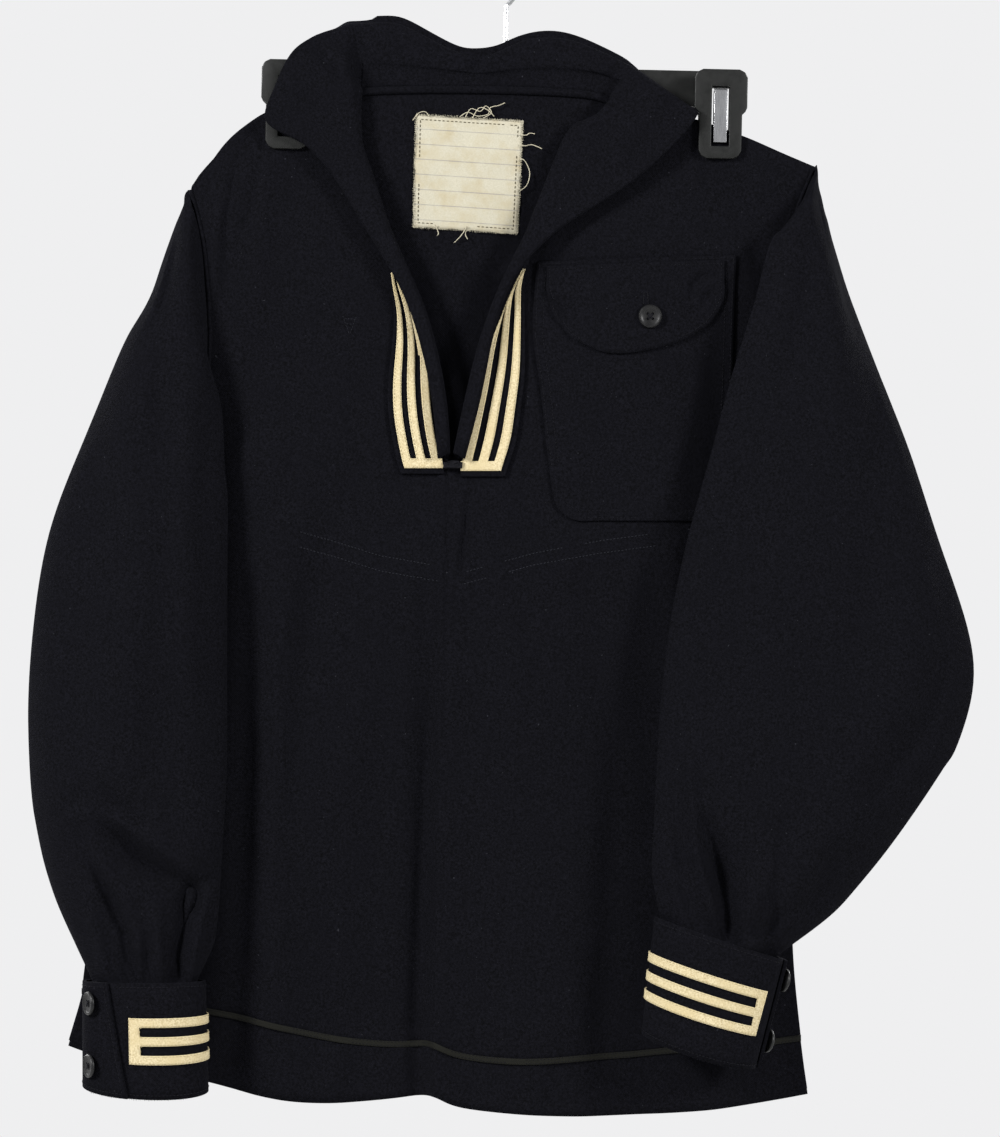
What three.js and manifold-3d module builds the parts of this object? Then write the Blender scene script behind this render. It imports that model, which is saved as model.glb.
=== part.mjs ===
// Sailor jumper of dark wool on a clip hanger, in millimetres.
// X runs to the viewer's right, Z runs up and Y runs away from the viewer. The origin is the inner
// top of the hanger's hook, where a rail would carry it.
import Module from 'manifold-3d';
import * as THREE from 'three';
import { mergeVertices } from 'three/addons/utils/BufferGeometryUtils.js';

// Driving sizes
const CLOTH = 2;
const SEAM_GAP = 0.3;
const TRIM = 1;
const TAPE_WIDTH = 6.2;
const TAPE_PITCH = 10.5;
const HEM_TAPE_WIDTH = 4.4;
const BUTTON_RADIUS = 8.6;
const BUTTON_HEIGHT = 2.6;

// Depths of the layers where the two jaws of a clip hold the shoulders
const BAR_HALF_DEPTH = 3;
const BACK_DEPTH = -10;
const FRONT_DEPTH = BACK_DEPTH - CLOTH - SEAM_GAP;
const SEAM_DEPTH = (BACK_DEPTH + FRONT_DEPTH) / 2;
const FLAP_DEPTH = -6.2;
const JAW_FRONT_BACK_FACE = FRONT_DEPTH - CLOTH / 2 - SEAM_GAP;

// Finishes
const finish = (color, roughness, metalness = 0) =>
  new THREE.MeshStandardMaterial({ color, roughness, metalness });
const WOOL = finish(0x15151c, 0.95);
const CREAM_TAPE = finish(0xe8dcb9, 0.85);
const LABEL_CLOTH = finish(0xe6e0cc, 0.9);
const HEM_TAPE = finish(0x24241f, 0.9);
const HORN = finish(0x26262a, 0.35);
const BLACK_PLASTIC = finish(0x2b2c2b, 0.45);
const STEEL = finish(0xc9cacb, 0.25, 1);

const jumper = new THREE.Group();

// Numbers and curves
const mix = (a, b, t) => a + (b - a) * t;
const clamp01 = (t) => Math.min(1, Math.max(0, t));
const ease = (t) => clamp01(t) ** 2 * (3 - 2 * clamp01(t));
const mixPoint = (a, b, t) => a.map((value, i) => mix(value, b[i], t));
const range = (count) => Array.from({ length: count }, (_, i) => i);

// A table is a list of named columns and a row of numbers for each section.
const table = (columns, rows) => {
  const names = columns.split(' ');
  return rows.map((row) => Object.fromEntries(names.map((name, i) => [name, row[i]])));
};

// Centripetal Catmull-Rom through points of any dimension, which doesn't overshoot where points
// lie close together. t runs 0 to 1 and gives each span the same share.
function through(points, t, closed = false) {
  const spans = closed ? points.length : points.length - 1;
  const place = clamp01(t) * spans;
  const span = Math.min(Math.floor(place), spans - 1);
  const pick = (i) => {
    if (closed) return points[(i + points.length) % points.length];
    if (i < 0) return mixPoint(points[0], points[1], -1);
    if (i > spans) return mixPoint(points[spans], points[spans - 1], -1);
    return points[i];
  };
  const near = [span - 1, span, span + 1, span + 2].map(pick);
  const knots = [0];
  for (let i = 1; i < 4; i += 1) {
    const step = Math.hypot(...near[i].map((value, k) => value - near[i - 1][k]));
    knots.push(knots[i - 1] + Math.sqrt(Math.max(step, 1e-3)));
  }
  const at = mix(knots[1], knots[2], place - span);
  const blend = (from, to, i, j) => mixPoint(from, to, (at - knots[i]) / (knots[j] - knots[i]));
  const first = near.slice(0, 3).map((p, i) => blend(p, near[i + 1], i, i + 1));
  const second = [blend(first[0], first[1], 0, 2), blend(first[1], first[2], 1, 3)];
  return blend(second[0], second[1], 1, 2);
}

// The same curve walked at an even pace.
function evenly(points, count) {
  const fine = range(201).map((i) => through(points, i / 200));
  const run = [0];
  for (let i = 1; i < fine.length; i += 1) {
    run.push(run[i - 1] + Math.hypot(...fine[i].map((value, k) => value - fine[i - 1][k])));
  }
  return range(count + 1).map((i) => {
    const goal = run[200] * i / count;
    const next = Math.max(1, run.findIndex((length) => length >= goal - 1e-9));
    return mixPoint(fine[next - 1], fine[next], (goal - run[next - 1]) / (run[next] - run[next - 1]));
  });
}

// Value of the second coordinate where the first is given, along a list of points in order.
function along(points, at, key = 0, value = 1) {
  const rising = points[points.length - 1][key] > points[0][key];
  const past = points.findIndex((p) => (rising ? p[key] >= at : p[key] <= at));
  const i = past === -1 ? points.length - 1 : Math.max(1, past);
  const [a, b] = [points[i - 1], points[i]];
  return mix(a[value], b[value], clamp01((at - a[key]) / (b[key] - a[key])));
}

// Makes a closed body of cloth from one or more grids of points, [x, y, z] in rows of columns.
// The body lies between two distances along the surface's normal. keep(row, column) tells which
// cells are cloth, and round joins the last column to the first.
function wall(grids, near, far, { keep = () => true, round = false } = {}) {
  const points = [];
  const index = new Map();
  const vertex = (p) => {
    const key = p.map((value) => Math.round(value * 1000)).join();
    if (!index.has(key)) {
      index.set(key, points.length);
      points.push(new THREE.Vector3(...p));
    }
    return index.get(key);
  };
  const cells = [];
  for (const grid of grids) {
    const columns = grid[0].length - (round ? 0 : 1);
    for (let row = 0; row < grid.length - 1; row += 1) {
      for (let column = 0; column < columns; column += 1) {
        const next = (column + 1) % grid[0].length;
        if (keep(row, column)) {
          const cell = [grid[row][column], grid[row + 1][column], grid[row + 1][next], grid[row][next]];
          cells.push([...new Set(cell.map(vertex))]);
        }
      }
    }
  }
  const normals = points.map(() => new THREE.Vector3());
  for (const cell of cells) {
    const [a, b] = [points[cell[0]], points[cell[1]]];
    const [c, d] = [points[cell[2]], points[cell[cell.length - 1]]];
    const normal = new THREE.Vector3().subVectors(c, a).cross(new THREE.Vector3().subVectors(d, b));
    if (cell.length === 3) {
      normal.subVectors(b, a).cross(new THREE.Vector3().subVectors(c, a));
    }
    normal.normalize();
    cell.forEach((i) => normals[i].add(normal));
  }
  normals.forEach((normal) => normal.normalize());
  const outer = points.map((p, i) => p.clone().addScaledVector(normals[i], far));
  const inner = points.map((p, i) => p.clone().addScaledVector(normals[i], near));
  const faces = [];
  const edges = new Map();
  const shift = points.length;
  for (const cell of cells) {
    for (let i = 1; i < cell.length - 1; i += 1) {
      faces.push([cell[0], cell[i], cell[i + 1]]);
      faces.push([cell[0] + shift, cell[i + 1] + shift, cell[i] + shift]);
    }
    cell.forEach((from, i) => edges.set(`${from},${cell[(i + 1) % cell.length]}`, true));
  }
  for (const edge of edges.keys()) {
    const [from, to] = edge.split(',').map(Number);
    if (!edges.has(`${to},${from}`)) {
      faces.push([to, from, from + shift], [to, from + shift, to + shift]);
    }
  }
  const geometry = new THREE.BufferGeometry();
  const flat = [...outer, ...inner].flatMap((p) => [p.x, p.y, p.z]);
  geometry.setAttribute('position', new THREE.Float32BufferAttribute(flat, 3));
  geometry.setIndex(faces.flat());
  return facingOut(geometry);
}

// Turns a closed body's faces outward if its volume comes out negative.
function facingOut(geometry) {
  const position = geometry.getAttribute('position');
  const order = geometry.getIndex().array;
  const corner = (i) => new THREE.Vector3().fromBufferAttribute(position, order[i]);
  let volume = 0;
  for (let i = 0; i < order.length; i += 3) {
    volume += corner(i).dot(corner(i + 1).cross(corner(i + 2)));
  }
  if (volume < 0) {
    for (let i = 0; i < order.length; i += 3) {
      [order[i + 1], order[i + 2]] = [order[i + 2], order[i + 1]];
    }
  }
  return geometry;
}

// Keeps only the places of a geometry's corners, merged, so that it is one closed body.
function bare(geometry) {
  for (const name of Object.keys(geometry.attributes)) {
    if (name !== 'position') geometry.deleteAttribute(name);
  }
  return mergeVertices(geometry, 1e-4);
}

function add(name, geometry, material, parent = jumper) {
  const mesh = new THREE.Mesh(geometry, material);
  mesh.name = name;
  parent.add(mesh);
  return mesh;
}

// Outline of the body, [x, z]
const SHOULDER_LEFT = [[-231, -183], [-220, -170], [-212, -156], [-202, -145], [-191, -136],
  [-180, -128], [-158, -121], [-118, -117]];
const SHOULDER_RIGHT = [[223, -166], [197, -155], [177, -146], [139, -132], [81, -123]];
const ARMHOLE_LEFT = [[-231, -183], [-223, -215], [-219, -245], [-217, -293], [-221, -333],
  [-234, -358], [-252, -374], [-272, -384]];
const ARMHOLE_RIGHT = [[223, -166], [212, -195], [203, -228], [197, -286], [200, -333],
  [209, -355], [219, -368], [228, -376]];
const SIDE_LEFT = [[-272, -384], [-289, -554], [-306, -735], [-310, -764]];
const SIDE_RIGHT = [[228, -376], [214, -554], [207, -728], [213, -798]];
const NECK_LEFT = [[-118, -117], [-112, -150], [-103, -178], [-89, -213], [-74, -250],
  [-60, -290], [-51, -330], [-46, -360], [-41, -380]];
const NECK_RIGHT = [[81, -123], [62, -141], [45, -158], [35, -183], [20, -220],
  [3, -258], [-13, -297], [-27, -350], [-41, -380]];
const CENTRE_FRONT = [[-41, -380], [-47, -600], [-53, -801]];
const NECK_BACK = [[-118, -117], [-104, -112], [-28, -110.5], [55, -114], [81, -123]];
const HEM_TAPE_LINE = [[-310, -764], [-220, -776], [-182, -784], [-131, -797], [-85, -802],
  [-53, -801], [-46, -806], [-20, -811], [13, -813], [46, -811], [91, -808], [125, -804],
  [179, -802], [213, -798]];
const HEM_LINE = [[-320, -806], [-306, -811], [-215, -830], [-182, -840], [-144, -847], [-102, -845],
  [-54, -840], [-46, -846], [-9, -852], [24, -854], [69, -855], [139, -851], [195, -845], [218, -841]];

// Depth of the front: it meets the back at the side seams and shoulders, stands open at the
// armholes and swells over the chest and skirt.
const SWELL_FRONT = [[-117, 0], [-200, 6], [-380, 12], [-600, 17], [-860, 21]];
const SWELL_BACK = [[-117, 0], [-400, 0], [-600, 7], [-860, 12]];
const ARMHOLE_OPENING = 6;
const EDGE_ROUNDING = 95;
const FLAT_UNDER_CLIPS = 34;
const FRONT_FOLDS = table('x z endX endZ width depth', [
  [-188, -140, -208, -250, 14, -3],
  [-150, -420, -176, -830, 34, 5],
  [-100, -470, -112, -850, 30, -4],
  [40, -440, 22, -855, 40, 4],
  [104, -420, 96, -855, 34, -5],
  [160, -440, 168, -850, 30, 4],
]);
const BACK_FOLDS = table('x z endX endZ width depth', [
  [-190, -420, -210, -830, 40, -4],
  [-110, -440, -124, -840, 34, 4],
  [-10, -430, -20, -850, 44, -4],
  [90, -430, 80, -850, 36, 4],
  [160, -420, 160, -840, 30, -3],
]);
const CENTRE_STEP = 12;
const CENTRE_STEP_WIDTH = 12;

const sideX = (side, z) => {
  const outline = side < 0 ? [...ARMHOLE_LEFT, ...SIDE_LEFT, [-320, -806]]
    : [...ARMHOLE_RIGHT, ...SIDE_RIGHT, [218, -841]];
  return along(outline, z, 1, 0);
};
const shoulderZ = (x) => {
  const line = [...SHOULDER_LEFT, ...[...SHOULDER_RIGHT].reverse()];
  return along(line, x);
};
const armholeShare = (side, z) => {
  const [top, bottom] = side < 0 ? [-183, -384] : [-166, -376];
  return Math.sin(Math.PI * clamp01((top - z) / (top - bottom)));
};

// How far a fold lifts the cloth at a place: full along its line, fading over its width and at
// its upper end.
function foldLift(fold, x, z) {
  const run = (z - fold.z) / (fold.endZ - fold.z);
  const away = Math.abs(x - mix(fold.x, fold.endX, run)) / fold.width;
  const fadeIn = ease(run * 2);
  const fadeOut = fold.endZ < -800 ? 1 : ease((1 - run) * 4);
  return fold.depth * (1 - ease(away)) * fadeIn * fadeOut;
}

function panelLift(x, z, swell, folds) {
  const left = x - sideX(-1, z);
  const right = sideX(1, z) - x;
  const nearest = left < right ? -1 : 1;
  const inward = ease(Math.min(left, right) / EDGE_ROUNDING);
  const edge = ARMHOLE_OPENING * armholeShare(nearest, z);
  const down = ease((shoulderZ(x) - FLAT_UNDER_CLIPS - z) / 70);
  const lift = folds.reduce((sum, fold) => sum + foldLift(fold, x, z), 0);
  return (mix(edge, along(swell, z), inward) + lift * inward) * down;
}

const centreX = (z) => along(CENTRE_FRONT, z, 1, 0);
function frontDepth(x, z) {
  const below = ease((-400 - z) / 380);
  const across = ease((centreX(z) - x) / CENTRE_STEP_WIDTH);
  const fade = 1 - ease((centreX(z) - x) / 190);
  const step = CENTRE_STEP * below * across * fade;
  return FRONT_DEPTH - panelLift(x, z, SWELL_FRONT, FRONT_FOLDS) + step;
}
const backDepth = (x, z) => BACK_DEPTH + panelLift(x, z, SWELL_BACK, BACK_FOLDS) * 0.9;

// One half of a panel: a patch between its side, centre, top and hem-tape edges, with two more
// rows below for the tape's width and the turned hem. Column 0 is the side.
const PANEL_COLUMNS = [0, 0.06, 0.14, 0.24, 0.35, 0.47, 0.6, 0.73, 0.86, 0.95, 1];
const UPPER_ROWS = 9;
const LOWER_ROWS = 8;

function halfPanel({ armhole, side, inner, centre, topLine, depth, hemRise, columns }) {
  const upperSide = evenly(armhole, UPPER_ROWS);
  const upperInner = evenly(inner, UPPER_ROWS);
  const lowerSide = evenly(side, LOWER_ROWS).slice(1);
  const lowerInner = evenly(centre, LOWER_ROWS).slice(1);
  const sideEdge = [...upperSide, ...lowerSide];
  const innerEdge = [...upperInner, ...lowerInner];
  const last = sideEdge.length - 1;
  const between = (line, u, from, to) => {
    const x = mix(from[0], to[0], u);
    return [x, along(line, x)];
  };
  const top = (u) => (topLine ? between(topLine, u, sideEdge[0], innerEdge[0])
    : mixPoint(sideEdge[0], innerEdge[0], u));
  const rows = sideEdge.map((start, row) => columns.map((u) => {
    const v = row / last;
    const straight = mixPoint(start, innerEdge[row], u);
    const plainTop = mixPoint(sideEdge[0], innerEdge[0], u);
    const plainBottom = mixPoint(sideEdge[last], innerEdge[last], u);
    const bottom = between(HEM_TAPE_LINE, u, sideEdge[last], innerEdge[last]);
    const topShare = Math.max(0, 1 - row / UPPER_ROWS);
    const bottomShare = ease((row - UPPER_ROWS) / LOWER_ROWS);
    return straight.map((value, k) => value + topShare * (top(u)[k] - plainTop[k])
      + bottomShare * (bottom[k] - plainBottom[k]));
  }));
  const tapeFoot = rows[last].map(([x, z]) => [x, z - HEM_TAPE_WIDTH]);
  const hemSide = side === SIDE_LEFT ? HEM_LINE[0] : HEM_LINE[HEM_LINE.length - 1];
  const hem = columns.map((u) => {
    const x = mix(hemSide[0], innerEdge[last][0], u);
    return [x, along(HEM_LINE, x) + hemRise];
  });
  return [...rows, tapeFoot, hem].map((row) => row.map(([x, z]) => [x, depth(x, z), z]));
}

const mirrorRows = (grid) => grid.map((row) => [...row].reverse());
const frontHalves = [
  halfPanel({ armhole: ARMHOLE_LEFT, side: SIDE_LEFT, inner: NECK_LEFT, centre: CENTRE_FRONT,
    topLine: SHOULDER_LEFT, depth: frontDepth, hemRise: 0, columns: PANEL_COLUMNS }),
  mirrorRows(halfPanel({ armhole: ARMHOLE_RIGHT, side: SIDE_RIGHT, inner: NECK_RIGHT,
    centre: CENTRE_FRONT, topLine: SHOULDER_RIGHT, depth: frontDepth, hemRise: 0,
    columns: PANEL_COLUMNS })),
];
const BACK_COLUMNS = [0, 0.08, 0.2, 0.34, 0.48, 0.62, 0.76, 0.88, 1];
const BACK_CENTRE_TOP = [[-28, -110.5], [-41, -380]];
const backHalves = [
  halfPanel({ armhole: ARMHOLE_LEFT, side: SIDE_LEFT, inner: BACK_CENTRE_TOP, centre: CENTRE_FRONT,
    topLine: [...SHOULDER_LEFT, ...NECK_BACK.slice(1)], depth: backDepth, hemRise: 4,
    columns: BACK_COLUMNS }),
  mirrorRows(halfPanel({ armhole: ARMHOLE_RIGHT, side: SIDE_RIGHT, inner: BACK_CENTRE_TOP,
    centre: CENTRE_FRONT, topLine: [...SHOULDER_RIGHT, ...[...NECK_BACK].reverse().slice(1)],
    depth: backDepth, hemRise: 4, columns: BACK_COLUMNS })),
];
// The front is cut in two across the chest, below the neck: a yoke, and the rest a seam's gap below.
const YOKE_ROW = UPPER_ROWS + 1;
const yokeHalves = frontHalves.map((grid) => grid.slice(0, YOKE_ROW + 1));
const lowerHalves = frontHalves.map((grid) => {
  const [cut, next] = grid.slice(YOKE_ROW, YOKE_ROW + 2);
  const top = cut.map((p, i) => mixPoint(p, next[i], SEAM_GAP / (p[2] - next[i][2])));
  return [top, ...grid.slice(YOKE_ROW + 1)];
});
add('front_yoke', wall(yokeHalves, -CLOTH / 2, CLOTH / 2), WOOL);
add('body_front', wall(lowerHalves, -CLOTH / 2, CLOTH / 2), WOOL);
add('body_back', wall(backHalves, -CLOTH / 2, CLOTH / 2), WOOL);

// Narrow tape round the hem, laid on each panel along two of its rows
const TAPE_ROW = UPPER_ROWS + LOWER_ROWS;
const hemBand = (halves) => halves.map((grid) => [grid[TAPE_ROW], grid[TAPE_ROW + 1]]);
const laidNear = CLOTH / 2 + SEAM_GAP;
add('hem_tape_front', wall(hemBand(frontHalves), laidNear, laidNear + TRIM), HEM_TAPE);
add('hem_tape_back', wall(hemBand(backHalves), -laidNear - TRIM, -laidNear), HEM_TAPE);

// Depth of the front's mesh itself at a place, so that what lies on it follows its flat facets
function meshDepth(x, z) {
  for (const grid of frontHalves) {
    for (let row = 0; row < grid.length - 1; row += 1) {
      for (let column = 0; column < grid[0].length - 1; column += 1) {
        const [a, b] = [grid[row][column], grid[row + 1][column]];
        const [c, d] = [grid[row + 1][column + 1], grid[row][column + 1]];
        for (const [p, q, r] of [[a, b, c], [a, c, d]]) {
          const area = (q[0] - p[0]) * (r[2] - p[2]) - (r[0] - p[0]) * (q[2] - p[2]);
          const second = ((x - p[0]) * (r[2] - p[2]) - (r[0] - p[0]) * (z - p[2])) / area;
          const third = ((q[0] - p[0]) * (z - p[2]) - (x - p[0]) * (q[2] - p[2])) / area;
          if (second >= -1e-6 && third >= -1e-6 && second + third <= 1 + 1e-6) {
            return p[1] + second * (q[1] - p[1]) + third * (r[1] - p[1]);
          }
        }
      }
    }
  }
  return frontDepth(x, z);
}
const onFront = (x, z, rise = 0) => [x, meshDepth(x, z) - CLOTH / 2 - rise, z];

// Sleeves
// Each ring runs outer edge, front, inner edge, back. Below the armhole a ring is a flattened
// loop between its outer and inner edge; near the armhole the underarm point stands apart,
// because the sleeve wraps forward round the side seam.
const SLEEVE_POINTS = 20;
const RING_COLUMNS = 'outerX outerZ innerX innerZ underX underZ outerY frontY innerY underY backY';
const LEFT_RINGS = table(RING_COLUMNS, [
  [-239, -203, -212, -335, -277, -391, -12, -33, -28, -15, -2],
  [-257, -256, -206, -385, -278, -416, -15, -44, -35, -18.5, -8],
  [-280, -300, -203, -415, -272, -445, -20, -52, -38, -25, -14],
  [-300, -350, -203, -445, -267, -470, -26, -58, -40, -31, -22],
  [-317, -392, -203, -474, -267, -492, -30, -62, -42, -34, -27],
  [-333, -440, -203, -512, -270, -520, -32, -64, -44, -35, -29],
  [-342, -500, -203, -552, -270, -560, -34, -66, -46, -36, -30],
  [-346, -560, -203, -600, -270, -600, -35, -67, -48, -37, -31],
  [-344, -615, -205, -640, -270, -640, -36, -68, -50, -39, -32],
  [-337, -660, -207, -676, -270, -676, -38, -69, -51, -41, -34],
  [-326, -695, -209, -706, -266, -706, -42, -70, -52, -43, -37],
  [-313, -723, -213, -731, -262, -731, -47, -71, -54, -46, -41],
  [-300, -748, -222, -750, -262, -750, -56, -72, -57, -43, -43],
  [-295, -759, -224, -759, -262, -759, -58, -72, -58, -45, -45],
]);
const RIGHT_RINGS = table(RING_COLUMNS, [
  [226, -184, 192, -222, 232, -384, -13, -32, -34, -14, -2],
  [234, -216, 180, -262, 234, -409, -16, -42, -42, -18, -6],
  [250, -268, 168, -300, 230, -434, -20, -50, -46, -25, -12],
  [270, -322, 156, -340, 226, -454, -26, -56, -48, -33, -22],
  [291, -378, 146, -378, 222, -474, -32, -60, -50, -36, -28],
  [308, -432, 134, -420, 218, -496, -36, -63, -51, -38, -31],
  [325, -482, 123, -466, 213, -520, -38, -66, -52, -39, -33],
  [336, -534, 115, -512, 210, -545, -40, -68, -54, -40, -35],
  [325, -580, 110, -558, 205, -585, -42, -70, -55, -41, -36],
  [300, -622, 107, -605, 196, -625, -44, -72, -57, -43, -38],
  [265, -670, 105, -645, 185, -665, -47, -73, -58, -45, -41],
  [228, -710, 104, -680, 168, -700, -51, -74, -60, -47, -44],
  [194, -734, 109, -705, 152, -720, -60, -75, -61, -48, -48],
  [187, -743, 110, -717, 148, -730, -62, -75, -62, -49, -49],
]);

// Near the armhole the back of a ring swings out round the side seam.
const BACK_BULGE = 13;
const BULGE_END = -480;
const BULGE_FADE = 120;
function ringPoints(ring) {
  const outer = [ring.outerX, ring.outerY, ring.outerZ];
  const inner = [ring.innerX, ring.innerY, ring.innerZ];
  const under = [ring.underX, ring.underY, ring.underZ];
  const bulge = BACK_BULGE * Math.sign(ring.outerX) * ease((ring.outerZ - BULGE_END) / BULGE_FADE);
  const at = (from, to, share, y, aside = 0) => {
    const [x, , z] = mixPoint(from, to, share);
    return [x + aside, y, z];
  };
  return [
    outer,
    at(outer, inner, 0.2, mix(ring.frontY, ring.outerY, 0.2)),
    at(outer, inner, 0.5, ring.frontY),
    at(outer, inner, 0.82, mix(ring.frontY, ring.innerY, 0.22)),
    inner,
    at(inner, under, 0.35, mix(ring.innerY, ring.underY, 0.3)),
    under,
    at(under, outer, 0.3, mix(ring.underY, ring.backY, 0.7), bulge),
    at(under, outer, 0.6, ring.backY, bulge * 0.7),
    at(under, outer, 0.9, mix(ring.outerY, ring.backY, 0.45)),
  ];
}

// The first ring runs round the cut edges of both panels, just outside them. Each number below is
// the share of the armhole where one of the ring's control places lies, down its front and up its
// back.
const LEFT_SHARES = [0, 0.1, 0.3, 0.58, 0.78, 0.93, 1, 0.91, 0.68, 0.18, 0];
const RIGHT_SHARES = [0, 0.05, 0.12, 0.18, 0.25, 0.6, 1, 0.9, 0.65, 0.18, 0];
const HEAD_STAND = 2.2;
const HEAD_SHARE = 0.35;
const ARMHOLE_FRONT_PLACES = 6;
const ARMHOLE_CLEAR_FRONT = 1.9;
const ARMHOLE_CLEAR_BACK = 1;
const ARMHOLE_FOOT_CLEAR = 4.1;
const FRONT_STAND = 1;
const EDGE_LOOK = 0.04;
function armholeRing(armhole, side, shares) {
  const steps = range(SLEEVE_POINTS).map((i) => i * 10 / SLEEVE_POINTS);
  const edge = evenly(armhole, UPPER_ROWS);
  const onEdge = (share) => {
    const run = clamp01(share) * UPPER_ROWS;
    const i = Math.min(Math.floor(run), UPPER_ROWS - 1);
    return mixPoint(edge[i], edge[i + 1], run - i);
  };
  return steps.map((place) => {
    const number = Math.floor(place);
    const share = mix(shares[number], shares[number + 1], place - number);
    const [x, z] = onEdge(share);
    const [aheadX, aheadZ] = onEdge(share + EDGE_LOOK);
    const [priorX, priorZ] = onEdge(share - EDGE_LOOK);
    const length = Math.hypot(aheadX - priorX, aheadZ - priorZ);
    const before = place > 0 && place < ARMHOLE_FRONT_PLACES;
    const gap = before ? ARMHOLE_CLEAR_FRONT : ARMHOLE_CLEAR_BACK;
    const clear = (place === ARMHOLE_FRONT_PLACES ? ARMHOLE_FOOT_CLEAR : gap) * side / length;
    const outX = x - (aheadZ - priorZ) * clear;
    const outZ = z + (aheadX - priorX) * clear;
    const ends = place === 0 || place === ARMHOLE_FRONT_PLACES;
    const stand = HEAD_STAND * (1 - ease(share / HEAD_SHARE));
    const depth = before ? frontDepth(x, z) - FRONT_STAND - stand : backDepth(x, z) + stand;
    return [outX, ends ? SEAM_DEPTH : depth, outZ];
  });
}

// Folds pressed into a sleeve above its cuff: a dent or ridge along a line on its front, [x, z]
const LEFT_SLEEVE_FOLDS = table('x z endX endZ width depth', [
  [-300, -636, -262, -664, 20, -4],
  [-286, -646, -236, -694, 20, -6],
  [-236, -694, -240, -745, 18, -6],
  [-306, -655, -274, -742, 18, -5],
]);
const RIGHT_SLEEVE_FOLDS = table('x z endX endZ width depth', [
  [146, -636, 154, -718, 20, -6],
  [124, -650, 131, -706, 14, 3],
  [204, -655, 178, -722, 20, 4],
  [232, -664, 190, -724, 18, -4],
]);

function dent(fold, x, z) {
  const [dx, dz] = [fold.endX - fold.x, fold.endZ - fold.z];
  const run = ((x - fold.x) * dx + (z - fold.z) * dz) / (dx * dx + dz * dz);
  const off = Math.hypot(x - fold.x - dx * clamp01(run), z - fold.z - dz * clamp01(run));
  return fold.depth * (1 - ease(off / fold.width)) * ease(run * 3 + 1);
}

// Rows of a sleeve's grid, as places along its rings: closer at the armhole and above the cuff.
const SLEEVE_ROWS = [0, 0.5, 1, 1.5, 2, 2.5, 3, 4, 5, 6, 7, 8, 9, 9.5, 10, 10.5, 11, 11.5, 12, 13,
  14];
function sleeve(armhole, side, shares, rings, folds) {
  const points = range(SLEEVE_POINTS);
  const loops = rings.map((ring) => {
    const places = ringPoints(ring);
    return points.map((i) => through(places, i / SLEEVE_POINTS, true));
  });
  const keys = [armholeRing(armhole, side, shares), ...loops];
  return SLEEVE_ROWS.map((place) => points.map((i) => {
    const [x, y, z] = through(keys.map((ring) => ring[i]), place / rings.length);
    const facesFront = i > 0 && i < SLEEVE_POINTS * 0.4;
    const push = facesFront ? folds.reduce((sum, fold) => sum + dent(fold, x, z), 0) : 0;
    return [x, y - push, z];
  }));
}
const sleeveGrids = {
  left: sleeve(ARMHOLE_LEFT, -1, LEFT_SHARES, LEFT_RINGS, LEFT_SLEEVE_FOLDS),
  right: sleeve(ARMHOLE_RIGHT, 1, RIGHT_SHARES, RIGHT_RINGS, RIGHT_SLEEVE_FOLDS),
};
for (const [side, grid] of Object.entries(sleeveGrids)) {
  add(`sleeve_${side}`, wall([grid], -CLOTH / 2, CLOTH / 2, { round: true }), WOOL);
}

// Cuffs
// A cuff is one band whose ends lap. It runs from its under end round to its upper end, which
// lies over the first. Angle 0 is at the lap's side edge, 90 in front.
const CUFF_CLOTH = 2.6;
const LAP_RISE = CUFF_CLOTH + 0.8;
const CUFF_ROWS = [0, 0.3, 0.38, 0.46, 0.54, 0.62, 0.7, 1];
const TAPE_ROWS = [1, 3, 5];
const CUFFS = {
  left: {
    topLap: [-300.5, -754], topFar: [-218, -754], footLap: [-300.5, -829], footFar: [-216, -833],
    depth: -58, halfDepth: 20, dip: 6,
    start: 18, end: 424, footLead: 10, tapeStart: 72, tapeEnd: 322, buttonAngle: 392,
  },
  right: {
    topLap: [196, -738], topFar: [106, -708], footLap: [176, -815], footFar: [97, -791],
    depth: -62, halfDepth: 19, dip: 5,
    start: -24, end: 366, footLead: 0, tapeStart: 26, tapeEnd: 300, buttonAngle: 350,
  },
};

function cuffPoint(cuff, angle, share, rise = 0) {
  const lap = mixPoint(cuff.topLap, cuff.footLap, share);
  const far = mixPoint(cuff.topFar, cuff.footFar, share);
  const [midX, midZ] = mixPoint(lap, far, 0.5);
  const [halfX, halfZ] = [(far[0] - lap[0]) / 2, (far[1] - lap[1]) / 2];
  const half = Math.hypot(halfX, halfZ);
  const turn = THREE.MathUtils.degToRad(angle);
  const out = rise + LAP_RISE * ease((angle - 255) / 90);
  const across = -Math.cos(turn) * (half + out) / half;
  const lean = cuff.dip * share * Math.sin(turn);
  return [
    midX + halfX * across,
    cuff.depth - (cuff.halfDepth + out) * Math.sin(turn),
    midZ + halfZ * across - lean,
  ];
}

function cuffGrid(cuff, from, to, steps, rise = 0) {
  return CUFF_ROWS.map((share) => range(steps + 1).map((i) => {
    const angle = mix(from, to + (to > 360 ? cuff.footLead * (2 * share - 1) : 0), i / steps);
    return cuffPoint(cuff, angle, share, rise);
  }));
}
const CUFF_STEP = 14;

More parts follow.
